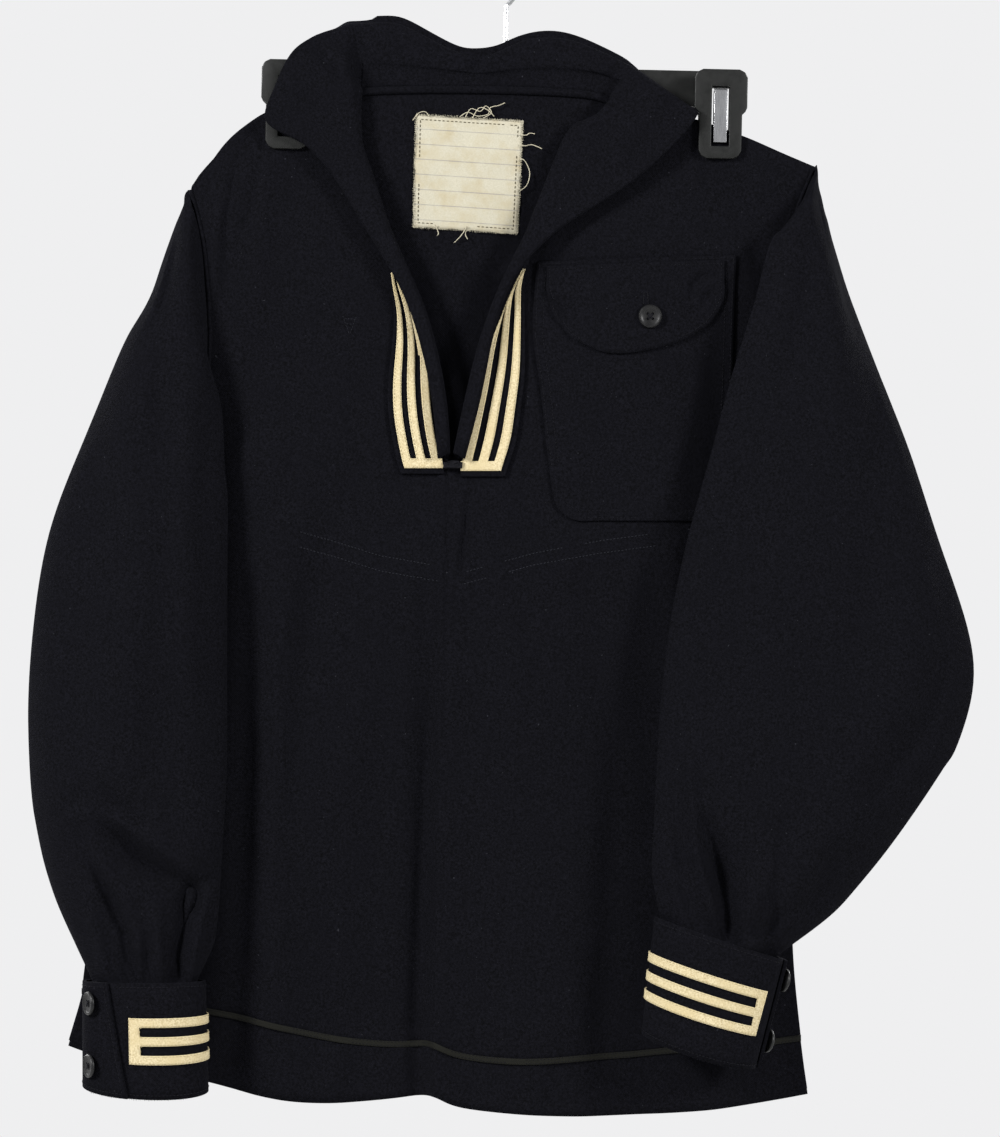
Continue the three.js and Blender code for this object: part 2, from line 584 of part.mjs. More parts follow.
for (const [side, cuff] of Object.entries(CUFFS)) {
  const steps = Math.round((cuff.end - cuff.start) / CUFF_STEP);
  const band = cuffGrid(cuff, cuff.start, cuff.end, steps);
  add(`cuff_${side}`, wall([band], -CUFF_CLOTH / 2, CUFF_CLOTH / 2), WOOL);
  const first = Math.round((cuff.tapeStart - cuff.start) / CUFF_STEP);
  const last = Math.round((cuff.tapeEnd - cuff.start) / CUFF_STEP);
  const tape = band.map((row) => row.slice(first, last + 1));
  const near = CUFF_CLOTH / 2 + SEAM_GAP;
  const isTape = (row, column) => row >= 1 && row <= 5
    && (TAPE_ROWS.includes(row) || column === 0 || column === last - first - 1);
  const flip = side === 'left' ? 1 : -1;
  const distances = [near * flip, (near + TRIM) * flip].sort((a, b) => a - b);
  add(`cuff_tape_${side}`, wall([tape], ...distances, { keep: isTape }), CREAM_TAPE);
}

// Collar
// A section runs from the neck seam over the lapel or stand to the rolled edge and back under it.
// front is 1 where the neck side lies before the body and 0 at the back neck; behind is 1 where
// the under side hangs behind the back as the square flap and 0 where it lies under the lapel.
const COLLAR_CLOTH = 2;
const LAPEL_RISE = 11;
const UNDER_RISE = 6.3;
const STAND_RISE = 3.5;
const FLAP_FOOT = -357;
const COLLAR_SECTIONS = table('seamX seamZ veeX veeZ rollX rollZ edgeX edgeZ front behind', [
  [-44.5, -379, -42.6, -375, -50, -379, -47, -379, 1, 0],
  [-49, -331, -46, -331, -55, -331, -51, -331, 1, 0],
  [-60.6, -281, -57.5, -280, -67, -281, -62.5, -281, 1, 0],
  [-74, -247, -71, -246, -82, -246, -76.5, -247, 1, 0],
  [-90, -211, -86, -211, -104, -210, -94, -210, 1, 0],
  [-106, -170, -99, -171, -128, -171, -112, -170, 1, 0],
  [-112, -150, -106, -150, -149, -149, -124, -149, 1, 0],
  [-117, -136, -107, -128, -175, -134, -133, -132, 1, 0],
  [-119, -124, -107, -108, -169, -110, -134, -112, 1, 0],
  [-114, -114, -110, -103, -156, -84, -135, -97, 0.7, 0],
  [-109, -112, -107, -98, -139, -71.5, -136, -94, 0.35, 0.3],
  [-105, -110.5, -104, -95, -124, -65, -135, -106, 0.1, 1],
  [-100, -109.5, -99, -94, -110, -62, -134, FLAP_FOOT, 0, 1],
  [-76, -109.5, -76, -95, -80, -62, -96, FLAP_FOOT, 0, 1],
  [-46, -109, -46, -97, -47, -78, -56, FLAP_FOOT, 0, 1],
  [-19, -109, -19, -99, -19, -86, -20, FLAP_FOOT, 0, 1],
  [10, -110, 10, -97, 12, -74, 16, FLAP_FOOT, 0, 1],
  [38, -111.5, 38, -97, 42, -73, 55, FLAP_FOOT, 0, 1],
  [61, -114, 63, -99, 72, -84, 95, FLAP_FOOT, 0.1, 1],
  [73, -116.5, 77, -103, 91, -94, 128, FLAP_FOOT, 0.3, 1],
  [81, -119.5, 79, -109, 106, -105, 131, -134, 0.7, 1],
  [83, -127, 75, -116, 121, -116, 124, -124, 1, 0.7],
  [77, -133, 70, -124, 131, -123, 116, -125, 1, 0.3],
  [68, -139, 62, -131, 137, -129, 116, -136, 1, 0],
  [52, -150, 46, -138, 112, -158, 92, -152, 1, 0],
  [41, -168, 35, -160, 86, -180, 68, -174, 1, 0],
  [31, -194, 24, -188, 50, -203, 40, -198, 1, 0],
  [17, -224, 11, -221, 28, -220, 20, -221, 1, 0],
  [0.6, -256, -3.5, -250, 4, -247, 0.6, -247, 1, 0],
  [-14.4, -292, -19, -291, -11, -288, -14, -290, 1, 0],
  [-26.4, -335, -30, -334, -20, -333, -24.5, -334, 1, 0],
  [-36.5, -379, -38.8, -375, -32, -379, -35, -379, 1, 0],
]);
const ROLL_DEPTH = LAPEL_RISE - UNDER_RISE;
const ROLL_STEPS = [0, 0.33, 0.67, 1];
const UNDER_STEPS = [0.35, 0.7, 1];

function collarSection(s) {
  const front = clamp01(s.front);
  const behind = clamp01(s.behind);
  const depthAt = (x, z, rise) => frontDepth(x, z) - CLOTH / 2 - rise;
  const seam = [s.seamX, mix(BACK_DEPTH, depthAt(s.seamX, s.seamZ, 1.6), front), s.seamZ];
  const underY = mix(depthAt(s.rollX, s.rollZ, UNDER_RISE), FLAP_DEPTH, behind);
  const lapelY = mix(BACK_DEPTH - STAND_RISE, depthAt(s.rollX, s.rollZ, LAPEL_RISE), front);
  const topY = Math.min(lapelY, underY - ROLL_DEPTH);
  const veeY = mix(BACK_DEPTH - 0.6, mix(seam[1], topY, 0.55), front);
  const width = Math.hypot(s.rollX - s.veeX, s.rollZ - s.veeZ);
  const half = (underY - topY) / 2;
  const bulge = Math.min(half, 4, width * 0.25);
  const onTop = (share, y) => [
    mix(s.veeX, s.rollX, share * (1 - bulge / width)), y,
    mix(s.veeZ, s.rollZ, share * (1 - bulge / width)),
  ];
  const turn = onTop(1, topY);
  const outward = [(s.rollX - s.veeX) / width, (s.rollZ - s.veeZ) / width];
  const roll = ROLL_STEPS.map((step) => {
    const out = bulge * Math.sin(Math.PI * step);
    const depth = (topY + underY) / 2 - half * Math.cos(Math.PI * step);
    return [turn[0] + outward[0] * out, depth, turn[2] + outward[1] * out];
  });
  const under = UNDER_STEPS.map((step) => [
    mix(turn[0], s.edgeX, step), underY, mix(turn[2], s.edgeZ, step),
  ]);
  return [seam, [s.veeX, veeY, s.veeZ], onTop(0.16, mix(veeY, topY, 0.8)), onTop(0.45, topY),
    onTop(0.75, topY), ...roll, ...under];
}

const collarRow = (s) => [s.seamX, s.seamZ, s.veeX, s.veeZ, s.rollX, s.rollZ, s.edgeX, s.edgeZ,
  s.front * 20, s.behind * 20];
const collarKeys = COLLAR_SECTIONS.map(collarRow);
// Sections between the table's own are drawn where the collar turns: over the shoulders and top.
const CLOSE_FROM = 4;
const CLOSE_TO = 27;
function collarGrid() {
  const last = collarKeys.length - 1;
  const places = range(last * 2 + 1).map((i) => i / 2)
    .filter((place) => Number.isInteger(place) || (place > CLOSE_FROM && place < CLOSE_TO));
  return places.map((place) => {
    const [seamX, seamZ, veeX, veeZ, rollX, rollZ, , , front, behind] =
      through(collarKeys, place / last);
    const before = Math.min(Math.floor(place), last - 1);
    const edge = mixPoint(collarKeys[before], collarKeys[before + 1], place - before);
    return collarSection({ seamX, seamZ, veeX, veeZ, rollX, rollZ, edgeX: edge[6], edgeZ: edge[7],
      front: front / 20, behind: behind / 20 });
  });
}
add('collar', wall([collarGrid()], -COLLAR_CLOTH / 2, COLLAR_CLOTH / 2), WOOL);

// Striped front ends of the collar, flat on the chest under the lapels. outerX is the outer edge
// of the outer row of tape, and pitch narrows the rows where the cloth turns away.
const END_MARGIN = 4;
const END_RISE = 0.4;
const END_WIDTH = 28.6;
const END_SEAM_GAP = 2.2;
const TUCKED_SPACING = 0.4;
const TAPE_EDGES = [0, 1, 2].flatMap((i) => [i * TAPE_PITCH, i * TAPE_PITCH + TAPE_WIDTH]);
const END_COLUMNS = [-END_MARGIN, ...TAPE_EDGES, END_WIDTH];
const LEFT_END = table('z outerX pitch', [
  [-244, -85, 0.25], [-258, -83, 0.4], [-274, -80.5, 0.57], [-297, -81, 0.8], [-320, -83, 0.93],
  [-343, -83, 1], [-364, -80, 1], [-379, -77, 1.02], [-386, -75, 1], [-390, -74, 0.98],
]);
const RIGHT_END = table('z outerX pitch', [
  [-242, 11.5, 0.35], [-254, 9.6, 0.6], [-270, 9.3, 0.7], [-297, 9, 0.86], [-320, 8, 1],
  [-343, 5, 1.07], [-364, 2, 1.14], [-381, -3, 1.1], [-388, -5, 1.04], [-392, -6, 1.02],
]);
const TAPE_BAR_ROW = 7;
const seamLine = (rows) => rows.map(({ seamX, seamZ }) => [seamX, seamZ]);
const SEAM_LEFT = seamLine(COLLAR_SECTIONS.slice(0, 7));
const SEAM_RIGHT = seamLine(COLLAR_SECTIONS.slice(-7));
const ENDS = [['left', LEFT_END, 1, SEAM_LEFT], ['right', RIGHT_END, -1, SEAM_RIGHT]];
for (const [side, rows, inward, seam] of ENDS) {
  const grid = rows.map(({ z, outerX, pitch }) => {
    const room = Math.abs(along(seam, z, 1, 0) - outerX) - END_SEAM_GAP;
    const line = END_COLUMNS.map((offset, i) => {
      const tucked = room - TUCKED_SPACING * (END_COLUMNS.length - 1 - i);
      return onFront(outerX + inward * Math.min(pitch * offset, tucked), z);
    });
    return inward > 0 ? line : line.reverse();
  });
  const isTape = (row, column) => {
    const fromOuter = inward > 0 ? column : END_COLUMNS.length - 2 - column;
    const onBar = row === TAPE_BAR_ROW && fromOuter > 0;
    return onBar || (row < TAPE_BAR_ROW && fromOuter % 2 === 1 && fromOuter < 6);
  };
  const tapeNear = END_RISE + CLOTH + SEAM_GAP;
  add(`collar_end_${side}`, wall([grid], END_RISE, END_RISE + CLOTH), WOOL);
  add(`collar_tape_${side}`, wall([grid], tapeNear, tapeNear + TRIM, { keep: isTape }), CREAM_TAPE);
}

// Three rows of tape round the hanging flap, each a U with square corners
const FLAP_LEFT = -133;
const FLAP_RIGHT = 127;
const FLAP_TAPE_TOP = -150;
const FLAP_TAPE_NAMES = ['outer', 'middle', 'inner'];
FLAP_TAPE_NAMES.forEach((name, i) => {
  const inset = END_MARGIN + i * TAPE_PITCH;
  const xs = [FLAP_LEFT + inset, FLAP_LEFT + inset + TAPE_WIDTH,
    FLAP_RIGHT - inset - TAPE_WIDTH, FLAP_RIGHT - inset];
  const zs = [FLAP_TAPE_TOP, FLAP_FOOT + inset + TAPE_WIDTH, FLAP_FOOT + inset];
  const grid = zs.map((z) => xs.map((x) => [x, FLAP_DEPTH, z]));
  const keep = (row, column) => row === 1 || column !== 1;
  const near = -COLLAR_CLOTH / 2 - SEAM_GAP;
  add(`flap_tape_${name}`, wall([grid], near - TRIM, near, { keep }), CREAM_TAPE);
});

// Breast pocket and its flap, laid on the front
const POCKET_ROWS = table('leftX leftZ rightX rightZ', [
  [21, -236, 166, -231], [19, -262, 165, -258], [18, -290, 164, -288], [23, -325, 163, -325],
  [27, -362, 161, -362], [31, -395, 159, -395], [34, -411, 157, -411], [40, -419, 151, -419],
  [50, -424, 141, -424],
]);
const POCKET_COLUMNS = 8;
const pocketGrid = POCKET_ROWS.map((row) => range(POCKET_COLUMNS + 1).map((i) => {
  const share = i / POCKET_COLUMNS;
  return onFront(mix(row.leftX, row.rightX, share), mix(row.leftZ, row.rightZ, share));
}));
const POCKET_RISE = 1.1;
add('pocket', wall([pocketGrid], POCKET_RISE, POCKET_RISE + TRIM), WOOL);

const FLAP_CLOTH = 1.6;
const POCKET_FLAP_RISE = POCKET_RISE + TRIM + 0.5;
const POCKET_FLAP_EDGE = [[28, -257], [32, -272], [37, -281], [47, -292], [57, -297], [69, -302],
  [84, -303], [99, -301], [116, -297], [133, -290], [144, -283], [152, -273], [157, -262]];
const pocketFlapGrid = [0, 0.3, 0.6, 1].map((share) => POCKET_FLAP_EDGE.map(([x, foot]) => {
  const top = mix(-239.5, -235, (x - 28) / 129);
  return onFront(x, mix(top, foot, share));
}));
add('pocket_flap', wall([pocketFlapGrid], POCKET_FLAP_RISE, POCKET_FLAP_RISE + FLAP_CLOTH), WOOL);

// Four-hole buttons
const BUTTON_SIDES = 20;
const HOLE_SIDES = 6;
const HOLE_RADIUS = 1.1;
const HOLE_OFFSET = 2.5;
const polygon = (x, y, radius, sides) => range(sides).map((i) => {
  const turn = Math.PI * 2 * i / sides;
  return new THREE.Vector2(x + radius * Math.cos(turn), y + radius * Math.sin(turn));
});
function button(name, place, facing) {
  const disc = new THREE.Shape(polygon(0, 0, BUTTON_RADIUS, BUTTON_SIDES));
  disc.holes = range(4).map((quarter) => {
    const turn = Math.PI * (quarter / 2 + 0.25);
    const [x, y] = [HOLE_OFFSET * Math.cos(turn), HOLE_OFFSET * Math.sin(turn)];
    return new THREE.Path(polygon(x, y, HOLE_RADIUS, HOLE_SIDES));
  });
  const geometry = new THREE.ExtrudeGeometry(disc, { depth: BUTTON_HEIGHT, bevelEnabled: false });
  const mesh = add(name, bare(geometry), HORN);
  mesh.position.copy(place);
  mesh.quaternion.setFromUnitVectors(new THREE.Vector3(0, 0, 1), facing);
}

const BUTTON_STANDOFF = 0.8;
const POCKET_BUTTON_AT = [103, -276];
const pocketButtonSeat = onFront(...POCKET_BUTTON_AT, POCKET_FLAP_RISE + FLAP_CLOTH + BUTTON_STANDOFF);
button('pocket_button', new THREE.Vector3(...pocketButtonSeat), new THREE.Vector3(0, -1, 0));
for (const [side, cuff] of Object.entries(CUFFS)) {
  for (const [level, share] of [['upper', 0.19], ['lower', 0.76]]) {
    const at = (angle, down) => {
      return new THREE.Vector3(...cuffPoint(cuff, angle, share + down, CUFF_CLOTH / 2));
    };
    const round = at(cuff.buttonAngle + 2, 0).sub(at(cuff.buttonAngle - 2, 0));
    const up = at(cuff.buttonAngle, -0.05).sub(at(cuff.buttonAngle, 0.05));
    const facing = round.cross(up).multiplyScalar(side === 'left' ? 1 : -1).normalize();
    const seat = at(cuff.buttonAngle, 0).addScaledVector(facing, BUTTON_STANDOFF);
    button(`cuff_button_${side}_${level}`, seat, facing);
  }
}

// Woven label inside the back neck
const LABEL_ROWS = [[[-67, -128], [11, -133]], [[-69, -210], [7, -215]]];
const labelGrid = LABEL_ROWS.map((row) => row.map(([x, z]) => [x, BACK_DEPTH, z]));
add('label', wall([labelGrid], laidNear, laidNear + TRIM), LABEL_CLOTH);

// Thread tack that joins the two collar ends at the foot of the neck slash
const TACK_RISE = END_RISE + CLOTH + SEAM_GAP + TRIM + SEAM_GAP;
const tackGrid = [-381.5, -386].map((z) => [-47, -41, -33].map((x) => {
  const [, y] = onFront(-40, -384);
  return [x, y, z];
}));
add('neck_tack', wall([tackGrid], TACK_RISE, TACK_RISE + 1.6), HEM_TAPE);

// Clip hanger: a bar whose ends are the back jaws, two front jaws, springs and a wire hook.
// It is drawn level and then turned a little about the hook's bearing point.
const HANGER_TILT = THREE.MathUtils.degToRad(1.3);
const BAR_HEIGHT = 26;
const BAR_TOP = -92;
const JAW_WIDTH = 38.5;
const JAW_HEIGHT = 65;
const JAW_THICKNESS = 4;
const JAW_STEP = 3.6;
const JAW_STEP_DOWN = 32;
const JAW_CENTRE = 157.5;
const JAW_CORNER = 6;
const SLOT_HALF_WIDTH = 6.5;
const SLOT_TOP = 12;
const SLOT_FOOT = 56;
const PAD_HEIGHT = 7;
const PAD_FACE = BACK_DEPTH + CLOTH / 2 + SEAM_GAP;
const HUB_HALF_WIDTH = 9;
const HUB_TOP = -87;
const HUB_BACK = 6;
const WIRE_RADIUS = 1.7;
const WIRE_FOOT = -106;
const WIRE_CLEAR = 0.3;
const WIRE_SIDES = 12;
const manifold = await Module();
manifold.setup();

// The tilt leaves depths as they are, so it is laid into the drawing of each hanger piece.
const tilt = (geometry) => geometry.rotateY(HANGER_TILT);

function toSolid(geometry) {
  const plain = bare(geometry);
  return new manifold.Manifold(new manifold.Mesh({
    numProp: 3,
    vertProperties: new Float32Array(plain.getAttribute('position').array),
    triVerts: new Uint32Array(plain.getIndex().array),
  }));
}

function fromSolid(solid) {
  const mesh = solid.getMesh();
  const geometry = new THREE.BufferGeometry();
  geometry.setAttribute('position', new THREE.Float32BufferAttribute(mesh.vertProperties, 3));
  geometry.setIndex(Array.from(mesh.triVerts));
  return geometry;
}

const box = (fromX, toX, fromY, toY, fromZ, toZ) => {
  const geometry = new THREE.BoxGeometry(toX - fromX, toY - fromY, toZ - fromZ);
  return geometry.translate((fromX + toX) / 2, (fromY + toY) / 2, (fromZ + toZ) / 2);
};

// A plate cut to an outline of [x, z] corners, with the slot of a jaw where slots names its centres
function plate(outline, slots, frontY, backY) {
  const shape = new THREE.Shape(outline.map(([x, z]) => new THREE.Vector2(x, z)));
  shape.holes = slots.map((x) => new THREE.Path([
    [x - SLOT_HALF_WIDTH, BAR_TOP - SLOT_TOP], [x - SLOT_HALF_WIDTH, BAR_TOP - SLOT_FOOT],
    [x + SLOT_HALF_WIDTH, BAR_TOP - SLOT_FOOT], [x + SLOT_HALF_WIDTH, BAR_TOP - SLOT_TOP],
  ].map(([px, pz]) => new THREE.Vector2(px, pz))));
  const geometry = new THREE.ExtrudeGeometry(shape, { depth: backY - frontY, bevelEnabled: false });
  return bare(geometry.rotateX(Math.PI / 2).translate(0, backY, 0));
}

// Corner points of a jaw, [x, z], from the middle of its top round its outer side
const jawFoot = BAR_TOP - JAW_HEIGHT;
const jawCorners = [
  [JAW_WIDTH / 2 - JAW_CORNER, BAR_TOP], [JAW_WIDTH / 2 - JAW_CORNER / 3, BAR_TOP - JAW_CORNER / 3],
  [JAW_WIDTH / 2, BAR_TOP - JAW_CORNER], [JAW_WIDTH / 2, BAR_TOP - JAW_STEP_DOWN + JAW_STEP],
  [JAW_WIDTH / 2 - JAW_STEP, BAR_TOP - JAW_STEP_DOWN], [JAW_WIDTH / 2 - JAW_STEP, jawFoot + JAW_CORNER],
  [JAW_WIDTH / 2 - JAW_STEP - JAW_CORNER / 3, jawFoot + JAW_CORNER / 3],
  [JAW_WIDTH / 2 - JAW_STEP - JAW_CORNER, jawFoot],
];
const mirrored = jawCorners.map(([x, z]) => [-x, z]).reverse();
const aside = (corners, x) => corners.map(([cornerX, z]) => [cornerX + x, z]);
const barFoot = BAR_TOP - BAR_HEIGHT;
const innerFoot = aside(mirrored.filter(([, z]) => z < barFoot), JAW_CENTRE);
const rightEnd = [...aside(jawCorners, JAW_CENTRE), ...innerFoot];
const rightInnerX = rightEnd[rightEnd.length - 1][0];
const leftEnd = rightEnd.map(([x, z]) => [-x, z]).reverse();
const barOutline = [...rightEnd, [rightInnerX, barFoot], [-rightInnerX, barFoot], ...leftEnd];

let bar = toSolid(plate(barOutline, [-JAW_CENTRE, JAW_CENTRE], -BAR_HALF_DEPTH, BAR_HALF_DEPTH));
for (const x of [-JAW_CENTRE, JAW_CENTRE]) {
  const reach = JAW_WIDTH / 2 - JAW_STEP - JAW_CORNER;
  bar = bar.add(toSolid(box(x - reach, x + reach, PAD_FACE, 0, jawFoot, jawFoot + PAD_HEIGHT)));
}
const hub = box(-HUB_HALF_WIDTH, HUB_HALF_WIDTH, -BAR_HALF_DEPTH, HUB_BACK, barFoot, HUB_TOP);
bar = bar.add(toSolid(hub));
const boreLength = HUB_TOP - WIRE_FOOT + 4;
const boreRadius = WIRE_RADIUS + WIRE_CLEAR;
const bore = new THREE.CylinderGeometry(boreRadius, boreRadius, boreLength, WIRE_SIDES);
bore.rotateX(Math.PI / 2).translate(0, 0, WIRE_FOOT - 1 + boreLength / 2);
bar = bar.subtract(toSolid(bore));
add('hanger_bar', tilt(fromSolid(bar)), BLACK_PLASTIC);

// Front jaws, and the steel strips that cross over the cloth's edge from slot to slot
const SPRING_THICKNESS = 0.9;
const SPRING_HALF_WIDTH = 4.7;
const SPRING_FRONT = JAW_FRONT_BACK_FACE - JAW_THICKNESS / 2;
const SPRING_BEND = 3;
const springTop = BAR_TOP - SLOT_TOP - 1.5;
const springFoot = BAR_TOP - SLOT_FOOT + 3;
const SPRING_LINE = [
  [SPRING_FRONT, springFoot], [SPRING_FRONT, springTop - SPRING_BEND],
  [SPRING_FRONT + SPRING_BEND * 0.3, springTop - SPRING_BEND * 0.3],
  [SPRING_FRONT + SPRING_BEND, springTop],
  [-SPRING_BEND, springTop], [-SPRING_BEND * 0.3, springTop - SPRING_BEND * 0.3],
  [0, springTop - SPRING_BEND], [0, springFoot],
];
for (const [side, x] of [['left', -JAW_CENTRE], ['right', JAW_CENTRE]]) {
  const front = plate(aside([...jawCorners, ...mirrored], x), [x],
    JAW_FRONT_BACK_FACE - JAW_THICKNESS, JAW_FRONT_BACK_FACE);
  add(`clip_jaw_${side}`, tilt(front), BLACK_PLASTIC);
  const strip = SPRING_LINE.map(([y, z]) => [x - SPRING_HALF_WIDTH, x + SPRING_HALF_WIDTH]
    .map((edge) => [edge, y, z]));
  add(`clip_spring_${side}`, tilt(wall([strip], -SPRING_THICKNESS / 2, SPRING_THICKNESS / 2)), STEEL);
}

// Wire hook: a stem, a bend aside and a crook whose inner top is the origin
const CROOK_RADIUS = 19 + WIRE_RADIUS;
const CROOK_CENTRE_Z = WIRE_RADIUS - CROOK_RADIUS;
const STEM_TOP = -52;
const CROOK_FROM = -50;
const CROOK_TO = 200;
const crook = range(17).map((i) => {
  const turn = THREE.MathUtils.degToRad(mix(CROOK_FROM, CROOK_TO, i / 16));
  return [CROOK_RADIUS * Math.cos(turn), CROOK_CENTRE_Z + CROOK_RADIUS * Math.sin(turn)];
});
const hookLine = [[0, WIRE_FOOT], [0, STEM_TOP], [1, STEM_TOP + 5], [5, STEM_TOP + 10.5], ...crook];
function rod(line, radius, sides) {
  const rings = line.map(([x, z], i) => {
    const [beforeX, beforeZ] = line[Math.max(i - 1, 0)];
    const [afterX, afterZ] = line[Math.min(i + 1, line.length - 1)];
    const length = Math.hypot(afterX - beforeX, afterZ - beforeZ);
    const [normalX, normalZ] = [(beforeZ - afterZ) / length, (afterX - beforeX) / length];
    return range(sides).map((side) => {
      const turn = Math.PI * 2 * side / sides;
      const out = radius * Math.cos(turn);
      return [x + normalX * out, radius * Math.sin(turn), z + normalZ * out];
    });
  });
  const points = rings.flat();
  const faces = [];
  for (let ring = 0; ring < rings.length - 1; ring += 1) {
    for (let side = 0; side < sides; side += 1) {
      const next = (side + 1) % sides;
      const [a, b] = [ring * sides + side, ring * sides + next];
      faces.push([a, b, b + sides], [a, b + sides, a + sides]);
    }
  }
  const last = points.length - sides;
  for (let side = 1; side < sides - 1; side += 1) {
    faces.push([0, side + 1, side], [last, last + side, last + side + 1]);
  }
  const geometry = new THREE.BufferGeometry();
  geometry.setAttribute('position', new THREE.Float32BufferAttribute(points.flat(), 3));
  geometry.setIndex(faces.flat());
  return facingOut(geometry);
}
add('hanger_hook', tilt(rod(hookLine, WIRE_RADIUS, WIRE_SIDES)), STEEL);

export default jumper;
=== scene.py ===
"""Sailor jumper of dark fulled wool, clipped by its shoulders to a black plastic hanger.

Sizes are in millimetres in the frame's axes: X to the viewer's right, Z up, Y away from the viewer.
The origin is the inner top of the hanger's hook."""
import math

import bmesh
import bpy
import numpy as np
from mathutils import Matrix, Vector, noise
from mathutils.bvhtree import BVHTree
from mathutils.kdtree import KDTree


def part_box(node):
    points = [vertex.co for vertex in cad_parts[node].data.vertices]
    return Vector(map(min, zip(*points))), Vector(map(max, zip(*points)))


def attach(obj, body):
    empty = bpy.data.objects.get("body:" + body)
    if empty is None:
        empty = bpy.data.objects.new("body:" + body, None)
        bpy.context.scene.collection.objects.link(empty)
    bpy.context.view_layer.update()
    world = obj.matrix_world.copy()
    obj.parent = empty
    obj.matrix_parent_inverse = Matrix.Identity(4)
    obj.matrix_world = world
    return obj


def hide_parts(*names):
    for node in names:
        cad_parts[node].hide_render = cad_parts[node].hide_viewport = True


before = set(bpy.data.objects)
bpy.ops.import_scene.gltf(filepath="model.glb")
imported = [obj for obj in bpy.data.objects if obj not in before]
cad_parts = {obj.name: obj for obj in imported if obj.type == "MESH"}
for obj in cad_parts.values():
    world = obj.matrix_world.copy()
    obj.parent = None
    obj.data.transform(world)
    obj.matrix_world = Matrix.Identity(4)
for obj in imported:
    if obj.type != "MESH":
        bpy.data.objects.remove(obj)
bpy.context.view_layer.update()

MM = 0.001
BODY = "root"

# Camera: square on to the front, as the photograph is
PHOTO_HEIGHT_PX = 1137
MM_PER_PIXEL = 0.725
VIEW_CENTRE = (-5.8, -25, -458.6)
VIEW_DISTANCE = 3000
SENSOR = 36


def add_camera():
    data = bpy.data.cameras.new("camera")
    data.sensor_width = SENSOR
    data.lens = SENSOR * VIEW_DISTANCE / (PHOTO_HEIGHT_PX * MM_PER_PIXEL)
    camera = bpy.data.objects.new("camera", data)
    bpy.context.scene.collection.objects.link(camera)
    x, y, z = VIEW_CENTRE
    camera.location = Vector((x, y - VIEW_DISTANCE, z)) * MM
    camera.rotation_euler = (math.pi / 2, 0, 0)
    bpy.context.scene.camera = camera


add_camera()


# Colours and materials
def colour(text):
    """An sRGB hex colour as linear red, green, blue and alpha."""
    parts = [int(text[i:i + 2], 16) / 255 for i in (1, 3, 5)]
    return [c / 12.92 if c <= 0.04045 else ((c + 0.055) / 1.055) ** 2.4 for c in parts] + [1]


def fill(tree, node, inputs):
    """Fills a node's inputs, by name or number, with values or with other nodes' outputs."""
    for socket, value in inputs.items():
        if isinstance(value, bpy.types.NodeSocket):
            tree.links.new(value, node.inputs[socket])
        else:
            node.inputs[socket].default_value = value


def add_node(tree, kind, inputs, output=0, **settings):
    """Adds a shader node with its settings and links, and gives one of its outputs."""
    made = tree.nodes.new("ShaderNode" + kind)
    for name, value in settings.items():
        setattr(made, name, value)
    fill(tree, made, inputs)
    return made.outputs[output]


def new_material(name):
    """A material with its node tree, its shader and the object's own coordinates."""
    material = bpy.data.materials.new(name)
    material.use_nodes = True
    tree = material.node_tree
    return material, tree, tree.nodes["Principled BSDF"], add_node(tree, "TexCoord", {}, "Object")


def noise_scale(size):
    """Scale of a noise texture whose features are a size in millimetres."""
    return 1 / (size * MM)


def wave_scale(size):
    """Scale of a wave texture whose bands repeat after a size in millimetres."""
    return 0.628 / (size * MM)


# A Mix node's sockets: how much, its two colours and the colour that it gives
SHARE, FIRST, SECOND, MIXED = 0, 6, 7, 2

# Sizes of the patterns in millimetres. Real fibres, threads, ribs and grain are finer than the
# picture can show, so each is drawn as coarse as it has to be to show.
WOOL_NAP, WOOL_CLOUD, WOOL_LINT, WOOL_WEAVE = 1.7, 17, 2.6, 1.6
TAPE_RIB, TAPE_AGEING = 1.2, 18
TWILL_RIB = 1
THREAD_FLECK = 0.8
LABEL_WEAVE, LABEL_STAIN = 0.9, 15
LABEL_LINE_PITCH, LABEL_LINE, LABEL_LINE_SLOPE = 11, 0.7, 0.064
PLASTIC_RUB = 9
STEEL_MARK = 0.6


